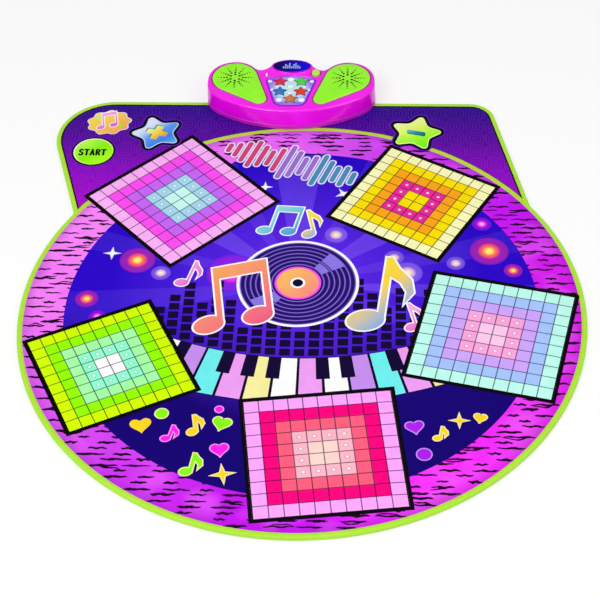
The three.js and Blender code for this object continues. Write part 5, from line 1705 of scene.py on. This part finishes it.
def make_power():
    """The oval power button, and the white light pipe on the other side of the pod."""
    top = high("power_button", 2)
    rings = [(0, CONSOLE_TOP - HIDDEN_DEPTH), *rounded_edge(0, top - 0.4, 1.6), (3.4, top - 0.1), (5.4, top)]
    button = loft("power_key", [(power_outline(-d), z) for d, z in rings])
    key = abs_plastic("moulded_abs_olive_lime", "#CCEC58", "#BCE04C", 0.26)
    dress(button, [key], "power_button", ["power_button"], 40)
    lamp_top, pipe_length = high("power_light", 2), 6
    rings = [(0, lamp_top - pipe_length), *rounded_edge(0, lamp_top, 0.5, 3)]
    pipe = loft("light_pipe", [(light_outline(-d), z) for d, z in rings])
    # Polished acrylic over a white lamp: nearly white, with a sharp highlight.
    clear = finish("clear_acrylic", solid_colour("#FFFFFF", "#F4F8FF", 4), 0.12, ior=1.49)
    dress(pipe, [clear], ROOT, ["power_light"], 40)


# Fasteners, cells, feet and what stays as the frame has it


PAN_HEAD = [(2.6, 0), (3.1, 0.5), (3.2, 1.2), (3.2, 2), (1.5, 2)]
SUNK_HEAD = [(3.1, 0), (3.2, 0.2), (1.5, 1.5)]


def make_screws():
    """Cross-recessed screws: four under the base, and two countersunk ones through the clamp plate."""
    # Zinc plating: a bright metal with slightly soft reflections.
    steel = finish("zinc_plated_steel", solid_colour("#C4C8CE", "#A8ACB4", 2), 0.3, 0.5, 0.03, metallic=1)
    shank, root, pitch, recess_length, recess_width, recess_depth = 1.5, 1.15, 1.2, 1.8, 0.42, 0.9
    for name in (*FRONT_SCREWS, *REAR_SCREWS, "left_clamp", "right_clamp"):
        node = name + "_screw"
        x, y = middle_of(node)
        bottom, top = low(node, 2), high(node, 2)
        head = SUNK_HEAD if name.endswith("clamp") else PAN_HEAD
        thread, z = [], bottom + 3.5
        while z < top - 2.5:
            thread += [(root, z), (shank, z + pitch / 2)]
            z += pitch
        shape = [*[(radius, bottom + rise) for radius, rise in head], (shank, bottom + 3), *thread,
                 (1.1, top - 2), (0.3, top)]
        screw = turned(node + "_steel", x, y, shape, 24)
        cross = [prism("cross", rectangle(x - a, y - b, x + a, y + b), bottom - 1, bottom + recess_depth)
                 for a, b in ((recess_length, recess_width), (recess_width, recess_length))]
        cut(screw, cross)
        dress(screw, [steel], ROOT, [node], 35)


def make_feet():
    """Two round rubber feet with a soft lower edge."""
    # Moulded rubber: dark and dull, with hardly a highlight.
    rubber = finish("moulded_rubber", solid_colour("#26262A", "#303036", 4), 0.8, 0.5, 0.05)
    for side in SIDES:
        node = side + "_foot"
        top, radius = high(node, 2), extent(node, 0) / 2
        rings = [(radius - 2.2, 0), (radius - 0.9, 0.12), (radius - 0.3, 0.45), (radius, 1), (radius, top)]
        foot = turned(side + "_rubber_foot", *middle_of(node), rings, 56)
        dress(foot, [rubber], ROOT, [node], 40)


def cell_sleeve():
    """A printed metallic sleeve between two bare steel ends, with faint scuffs."""
    sleeve_end, steel_start, scuff_size = 20, 22.5, 5
    material, tree, shader, place_of = blank("printed_steel_cell")
    along = add(tree, SEPARATE, {0: place_of}, 0)
    centred = add(tree, MATH, {0: along, 1: CONSOLE_X * MM}, operation="SUBTRACT")
    band = add(tree, MATH, {0: centred}, operation="ABSOLUTE")
    stops = [(sleeve_end * MM, "#D8A030"), (steel_start * MM, "#C0C4C8")]
    scuff = add(tree, NOISE, {"Vector": place_of, "Scale": 1 / (scuff_size * MM)})
    connect(tree, shader, {
        "Base Color": add(tree, COLOUR_RAMP, {0: band}, stops=stops), "Metallic": 0.8,
        "Roughness": add(tree, MAP_RANGE, {0: scuff, 3: 0.2, 4: 0.4}),
    })
    return material


def make_cells():
    """Three cells, each the other way round from the one before, with a nub and a rounded base."""
    radius, nub = 7.2, 1.3
    sleeve = cell_sleeve()
    for i in (1, 2, 3):
        node = f"battery_cell_{i}"
        long = extent(node, 0)
        rings = [(2.7, 0), (2.7, nub - 0.2), (2.9, nub), (6.2, nub), (6.9, nub + 0.3), (radius, nub + 0.9),
                 (radius, long - 0.7), (6.6, long - 0.2), (5.6, long)]
        cell = turned(f"cell_{i}", 0, 0, rings, 40)
        degrees, end = (-90, high(node, 0)) if i % 2 else (90, low(node, 0))
        turn_and_move(cell, degrees, "Y", (end, halfway(node, 1), halfway(node, 2)))
        dress(cell, [sleeve], ROOT, [node], 35)


def make_socket():
    """A small round audio socket in the back wall."""
    node = "line_in_socket"
    rings = [(4, -12), (4, -0.8), (3.7, -0.2), (3.3, 0), (2.3, 0), (1.85, -0.5), (1.75, -1.2), (1.75, -11)]
    bush = turned("audio_socket", 0, 0, rings, 48)
    turn_and_move(bush, -90, "X", (halfway(node, 0), high(node, 1), halfway(node, 2)))
    # Moulded nylon: black with a satin sheen.
    black = finish("moulded_nylon_black", solid_colour("#1C1C20", "#26262C", 3), 0.4, 0.4, 0.03)
    dress(bush, [black], ROOT, [node], 35)


def give(node, material):
    """A better material on a solid that stays as it is."""
    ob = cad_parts[node]
    ob.data.materials.clear()
    ob.data.materials.append(material)


def finish_frame_nodes(base_plastic):
    """The solids that stay as they are; the battery door is moulded in the base's plastic."""
    # Nickel plating: a bright metal with clear reflections.
    steel = finish("nickel_plated_steel", solid_colour("#C8CCD0", "#A4A8AE", 3), 0.28, 0.6, 0.02, metallic=1)
    # Galvanised strip: greyer and duller than the nickel, in slow patches.
    plate = finish("galvanised_strip", solid_colour("#B8BCC2", "#9CA2A8", 6), 0.4, 1, 0.02, metallic=1)
    # Solder mask: smooth green lacquer with a little gloss.
    board = finish("solder_masked_board", solid_colour("#1C6B3A", "#175A30", 8), 0.35, 0.8, 0.03)
    # Silicone: milky grey with a soft sheen.
    rubber = finish("silicone_keypad", solid_colour("#C4C4C0", "#B4B4B0", 10), 0.6, 0.6, 0.03)
    # Pressed paper pulp: nearly black and fibrous, without a highlight.
    paper = finish("pulp_speaker_cone", solid_colour("#26262A", "#1C1C20", 2), 0.8, 0.8, 0.1)
    for node in ("left_contact", "right_contact", "left_speaker", "right_speaker"):
        give(node, steel)
    for node in ("left_cone", "right_cone"):
        give(node, paper)
    give("battery_door", base_plastic)
    give("clamp_plate", plate)
    give("circuit_board", board)
    give("keypad", rubber)


# Camera, light and floor


def make_camera():
    """The photograph's view: a long lens, 45 degrees above the mat."""
    target = Vector((-2.87, 23.12, 7.8))
    offset = Vector((129.65, -2060.79, 2081.15))
    azimuth, elevation, roll = 3.6, 45.225, -1.936
    camera = bpy.data.objects.new("camera", bpy.data.cameras.new("camera"))
    camera.data.lens, camera.data.sensor_width = 108, 36
    camera.location = (target + offset) * MM
    turns = [(azimuth, "Z"), (90 - elevation, "X"), (roll, "Z")]
    rotation = Matrix.Identity(3)
    for angle, axis in turns:
        rotation = rotation @ Matrix.Rotation(math.radians(angle), 3, axis)
    camera.rotation_euler = rotation.to_euler()
    bpy.context.collection.objects.link(camera)
    bpy.context.scene.camera = camera


def lamp(name, place_at, size, power, target=(0, 0.1, 0)):
    """A round area lamp, its places and size in metres and its power in watts."""
    light = bpy.data.lights.new(name, "AREA")
    light.shape, light.size, light.energy = "DISK", size, power
    ob = bpy.data.objects.new(name, light)
    ob.location = place_at
    ob.rotation_euler = (Vector(target) - Vector(place_at)).to_track_quat("-Z", "Y").to_euler()
    bpy.context.collection.objects.link(ob)


def make_light():
    """Soft, nearly even light from in front and above, as in the photograph."""
    bpy.context.scene.view_settings.view_transform = "Standard"
    world = bpy.data.worlds.new("studio")
    bpy.context.scene.world = world
    world.use_nodes = True
    world.node_tree.nodes["Background"].inputs["Color"].default_value = (1, 1, 1, 1)
    world.node_tree.nodes["Background"].inputs["Strength"].default_value = 0.42
    lamp("key_light", (-1.5, -1.9, 3.0), 2.2, 70)
    lamp("fill_light", (2.1, -1.1, 2.7), 2.2, 30)
    lamp("top_light", (0.2, 0.9, 3.6), 2.2, 14)


def make_floor():
    """A white studio floor: seen directly or in gloss it is partly lit by itself, so that it stays pale."""
    pick()
    bpy.ops.mesh.primitive_plane_add(size=40, location=(0, 0, -0.0005))
    floor = bpy.context.object
    floor.name = "floor"
    material, tree, shader, place_of = blank("white_studio_floor")
    cloud = add(tree, NOISE, {"Vector": place_of, "Scale": 2})
    near_white = add(tree, COLOUR_RAMP, {0: cloud}, stops=[(0, 0.96), (1, 0.98)])
    connect(tree, shader, {"Base Color": near_white, "Roughness": 1, "Specular IOR Level": 0})
    white = add(tree, "ShaderNodeEmission", {"Color": rgb("#FFFFFF"), "Strength": 1})
    kinds = ("Camera", "Glossy", "Transmission")
    rays = [add(tree, "ShaderNodeLightPath", out=f"Is {kind} Ray") for kind in kinds]
    seen = add(tree, MATH, {0: rays[0], 1: rays[1]}, operation="MAXIMUM")
    seen = add(tree, MATH, {0: seen, 1: rays[2]}, operation="MAXIMUM")
    share = add(tree, MATH, {0: seen, 1: 0.6}, operation="MULTIPLY")
    paint = add(tree, "ShaderNodeMixShader", {0: share, 1: shader.outputs[0], 2: white})
    connect(tree, tree.nodes["Material Output"], {"Surface": paint})
    floor.data.materials.append(material)


make_camera()
make_light()
make_floor()
make_cover()
make_pads()
make_keys()
make_binding()
make_stitches()
make_layers()
make_console_top()
base_plastic = make_console_base()
make_grilles()
make_lens()
make_star_panel()
make_stars()
make_power()
make_screws()
make_feet()
make_cells()
make_socket()
finish_frame_nodes(base_plastic)
